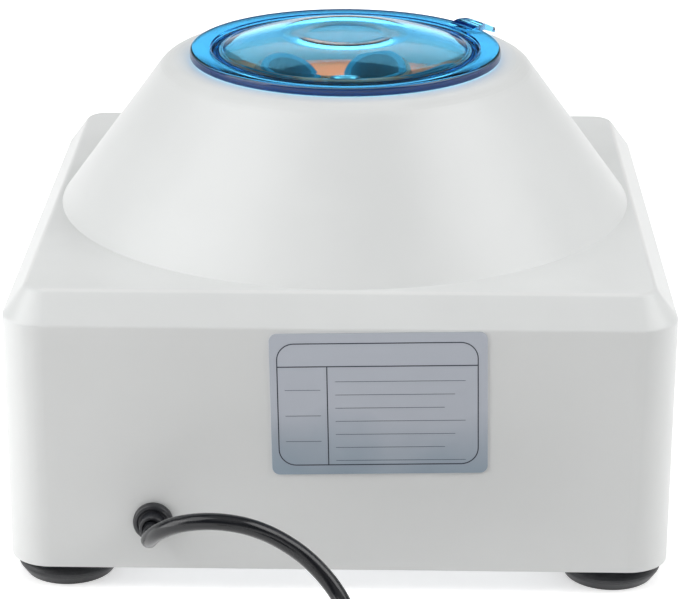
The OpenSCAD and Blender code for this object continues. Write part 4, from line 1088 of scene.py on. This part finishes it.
@dataclass
class StrainRelief:
    """Snap-in bush where the cord leaves the rear: a round flange, a nose and a dished mouth."""

    x: float = 72.0
    z: float = 30.5
    wall_y: float = 139.1
    neck_r: float = 6.1
    inner_l: float = 12.5
    flange_r: float = 7.8
    flange_t: float = 3.5
    nose_r: float = 5.0
    nose_l: float = 4.5
    cord_r: float = 3.25

    def build(self) -> bpy.types.Object:
        """Turns the bush, with a dished mouth round the cord."""
        a, b, c = self.inner_l, self.inner_l + self.flange_t, self.inner_l + self.flange_t + self.nose_l
        path = [(0, 0), (self.neck_r, 0, 0.5), (self.neck_r, a, 0), (self.flange_r - 0.1, a, 0.2),
                (self.flange_r, a + 1.0, 0.6), (self.flange_r, b, 1.3), (self.nose_r + 1.0, b, 0.35),
                (self.nose_r + 0.9, b - 0.5, 0.2), (self.nose_r, b - 0.5, 0.15),
                (self.nose_r, c, 0.7), (self.cord_r + 0.35, c, 0.3), (self.cord_r + 0.05, c - 1.6, 0.3), (0, c - 1.6)]
        draft = Draft()
        draft.lathe(fillet_path(path, 5), (0, 0), 72)
        draft.place(Matrix.Translation((self.x, self.wall_y - self.inner_l, self.z)) @ Matrix.Rotation(math.radians(-90), 4, "X"))
        relief = draft.piece("cord_strain_relief", Palette.black_nylon, Body.BASE)
        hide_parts("strain_relief")
        return relief


@dataclass
class Plug:
    """Moulded plug with two blades and an earth pin."""

    at: Point3
    turn: float
    width: float = 27.0
    length: float = 38.0
    height: float = 25.0
    neck_l: float = 10.0
    corner_r: float = 5.0
    neck_r: float = 5.5

    def build(self) -> list[bpy.types.Object]:
        """Lofts the body from the neck to the face and dresses the pins."""
        draft = Draft()
        count = 40
        sections = [(0.0, 4.4, 8.8, 8.8), (self.neck_l * 0.5, 4.9, 9.8, 9.8), (self.neck_l, self.neck_r, 11.0, 11.0),
                    (self.neck_l + 1.2, 5.4, 17.0, 15.0), (self.neck_l + 4.0, 5.2, 25.0, 22.5),
                    (self.neck_l + 8.0, self.corner_r, self.width, self.height),
                    (self.length - 1.2, self.corner_r, self.width, self.height),
                    (self.length, self.corner_r - 0.8, self.width - 1.6, self.height - 1.6)]
        rings = []
        for z, r, w, h in sections:
            r = min(r, w / 2 - 0.05, h / 2 - 0.05)
            loop = fillet_path([(-w / 2, -h / 2, r), (w / 2, -h / 2, r), (w / 2, h / 2, r), (-w / 2, h / 2, r)], count // 4 - 1)
            rings.append(draft.ring([(x, y, z) for x, y in loop]))
        for a, b in zip(rings, rings[1:]):
            draft.bridge(a, b)
        draft.face(rings[0])
        draft.face(rings[-1])
        matrix = (Matrix.Translation(self.at) @ Matrix.Rotation(math.radians(self.turn), 4, "Z")
                  @ Matrix.Rotation(math.radians(-90), 4, "X"))
        draft.place(matrix)
        body = draft.piece("plug_moulding", Palette.cord_vinyl, Body.BASE)
        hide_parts("plug_body")
        pins = bpy.data.objects["plug_blades"]
        pins.data.materials.clear()
        pins.data.materials.append(Palette.brass.material())
        return [body, pins]


@dataclass(frozen=True)
class FillLamp:
    """A small lamp inside the chamber, whose light is as blue as what comes through the lid."""

    name: str
    at: Point3
    aim: Point3
    size: Point2
    power: float
    colour: Colour = (1.0, 1.0, 1.0)


@dataclass
class Studio:
    """Camera at the photograph's angle, a pale bench and soft lamps."""

    target: Point3 = (1.93, 9.1, 74.9)
    distance: float = 1123.5
    elevation: float = 20.26
    yaw: float = 1.06
    roll: float = 0.15
    focal_px: float = 2613.0
    image: tuple[int, int] = (680, 599)
    ambient: float = 0.15
    overhead: float = 0.03
    lamps: tuple[tuple[str, float, float, float, float, float], ...] = (
        ("left_low_softbox", 75.0, 15.0, 1.5, 1.0, 2.9),
        ("left_high_softbox", 60.0, 46.0, 1.5, 1.0, 2.2),
        ("right_softbox", -75.0, 40.0, 1.5, 1.0, 3.4),
        ("right_edge_softbox", -110.0, 20.0, 1.5, 1.0, 0.6),
        ("camera_side_softbox", 0.0, 50.0, 1.5, 1.0, 0.35),
        ("overhead_softbox", 0.0, 82.0, 1.5, 1.2, 0.45),
        ("controls_side_softbox", 180.0, 25.0, 1.6, 1.2, 2.6),
    )
    unmirrored: tuple[str, ...] = ("controls_side_softbox",)
    fills: tuple[FillLamp, ...] = (
        FillLamp("wall_fill_left", (38.0, -38.0, 167.0), (0.62, -0.79, 0.15), (34.0, 6.0), 0.003, (0.08, 0.78, 1.0)),
        FillLamp("wall_fill_middle", (0.0, -54.0, 167.0), (0, -1, 0.15), (44.0, 6.0), 0.003, (0.08, 0.78, 1.0)),
        FillLamp("wall_fill_right", (-38.0, -38.0, 167.0), (-0.62, -0.79, 0.15), (34.0, 6.0), 0.003, (0.08, 0.78, 1.0)),
        FillLamp("rotor_fill", (0.0, -50.0, 176.0), (0, 0.2, -1), (60.0, 14.0), 0.015, (1.0, 0.8, 0.75)),
    )

    def camera(self) -> None:
        """Places the camera."""
        e, y = math.radians(self.elevation), math.radians(self.yaw)
        back = Vector((-math.sin(y) * math.cos(e), math.cos(y) * math.cos(e), math.sin(e)))
        right = (-back).cross(Vector((0, 0, 1))).normalized()
        up = right.cross(-back)
        roll = math.radians(self.roll)
        right, up = right * math.cos(roll) + up * math.sin(roll), up * math.cos(roll) - right * math.sin(roll)
        data = bpy.data.cameras.new("photo_camera")
        data.sensor_fit = "HORIZONTAL"
        data.sensor_width = 36.0
        data.lens = self.focal_px / self.image[0] * data.sensor_width
        data.clip_start, data.clip_end = 0.05, 50.0
        camera = bpy.data.objects.new("photo_camera", data)
        camera.matrix_world = Matrix((
            (right.x, up.x, back.x, 0), (right.y, up.y, back.y, 0), (right.z, up.z, back.z, 0), (0, 0, 0, 1)))
        camera.location = (Vector(self.target) + back * self.distance) * MM
        bpy.context.scene.collection.objects.link(camera)
        bpy.context.scene.camera = camera

    def lights(self) -> None:
        """Hangs the softboxes round the object, each lighting it by its strength."""
        centre = Vector((0, AXIS_Y, 90.0)) * MM
        for name, side, height, far, size, strength in self.lamps:
            a, e = math.radians(side), math.radians(height)
            way = Vector((math.sin(a) * math.cos(e), math.cos(a) * math.cos(e), math.sin(e)))
            data = bpy.data.lights.new(name, "AREA")
            data.shape = "SQUARE"
            data.size = size
            data.energy = strength * math.pi * size * size
            lamp = bpy.data.objects.new(name, data)
            lamp.location = centre + way * far
            lamp.rotation_mode = "QUATERNION"
            lamp.rotation_quaternion = way.to_track_quat("Z", "Y")
            lamp.visible_glossy = name not in self.unmirrored
            bpy.context.scene.collection.objects.link(lamp)

    def chamber_fills(self) -> None:
        """Small strip lamps under the lid, unseen themselves, that light the chamber's far wall and the rotor."""
        for fill in self.fills:
            data = bpy.data.lights.new(fill.name, "AREA")
            data.shape = "RECTANGLE"
            data.size, data.size_y = (s * MM for s in fill.size)
            data.energy = fill.power
            data.color = fill.colour
            lamp = bpy.data.objects.new(fill.name, data)
            lamp.location = Vector(fill.at) * MM
            lamp.rotation_mode = "QUATERNION"
            lamp.rotation_quaternion = (-Vector(fill.aim)).to_track_quat("Z", "Y")
            lamp.visible_camera = lamp.visible_glossy = lamp.visible_transmission = False
            bpy.context.scene.collection.objects.link(lamp)

    def seen_rays(self, nodes: Nodes) -> bpy.types.NodeSocket:
        """1 for camera, glossy and transmission rays, which see the white background."""
        rays = nodes.add("ShaderNodeLightPath")
        first = nodes.add("ShaderNodeMath", operation="MAXIMUM")
        second = nodes.add("ShaderNodeMath", operation="MAXIMUM")
        nodes.link(rays.outputs["Is Camera Ray"], first.inputs[0])
        nodes.link(rays.outputs["Is Glossy Ray"], first.inputs[1])
        nodes.link(first.outputs[0], second.inputs[0])
        nodes.link(rays.outputs["Is Transmission Ray"], second.inputs[1])
        return second.outputs[0]

    def world(self) -> None:
        """A grey world for light, and a backdrop for sight: white low down and grey overhead in mirrors."""
        world = bpy.data.worlds.new("studio")
        bpy.context.scene.world = world
        world.use_nodes = True
        nodes = Nodes(world.node_tree)
        background = world.node_tree.nodes["Background"]
        background.inputs["Color"].default_value = (1.0, 1.0, 1.0, 1.0)
        rays = nodes.add("ShaderNodeLightPath")
        split = nodes.add("ShaderNodeSeparateXYZ")
        nodes.link(nodes.coords.outputs["Generated"], split.inputs[0])
        overhead = nodes.spread(split.outputs["Z"], 1.0, self.overhead, 0.0, 0.2)
        lit = nodes.blend(rays.outputs["Is Glossy Ray"], self.ambient, overhead)
        through = nodes.blend(rays.outputs["Is Transmission Ray"], lit, 1.0)
        nodes.link(nodes.blend(rays.outputs["Is Camera Ray"], through, 1.0), background.inputs["Strength"])

    def bench(self) -> None:
        """A pale floor that keeps the object's shadow."""
        mesh = bpy.data.meshes.new("bench")
        half = 6.0
        mesh.from_pydata([(-half, -half, 0), (half, -half, 0), (half, half, 0), (-half, half, 0)], [], [(0, 1, 2, 3)])
        floor = bpy.data.objects.new("bench", mesh)
        bpy.context.scene.collection.objects.link(floor)
        material = bpy.data.materials.new("pale_bench")
        material.use_nodes = True
        tree = material.node_tree
        nodes = Nodes(tree)
        shader = tree.nodes["Principled BSDF"]
        shader.inputs["Base Color"].default_value = (0.82, 0.82, 0.82, 1.0)
        shader.inputs["Roughness"].default_value = 0.9
        shader.inputs["Specular IOR Level"].default_value = 0.0
        shader.inputs["Emission Color"].default_value = (1.0, 1.0, 1.0, 1.0)
        nodes.link(nodes.spread(self.seen_rays(nodes), 0.0, 0.56, 0.0, 1.0), shader.inputs["Emission Strength"])
        mesh.materials.append(material)

    def build(self) -> None:
        """Sets up camera, world, floor and lamps."""
        self.camera()
        self.world()
        self.bench()
        self.lights()
        self.chamber_fills()
        bpy.context.scene.view_settings.view_transform = "Standard"


def main() -> None:
    """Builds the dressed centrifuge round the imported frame."""
    logging.basicConfig(level=logging.INFO, format="%(name)s %(message)s")
    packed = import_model()
    Studio().build()
    frame = Frame(packed["nodes"])
    frame.dress()
    MainsCord().build()
    Lid().build()
    RatingPlate().build()
    Controls().build()


if __name__ == "__main__":
    main()
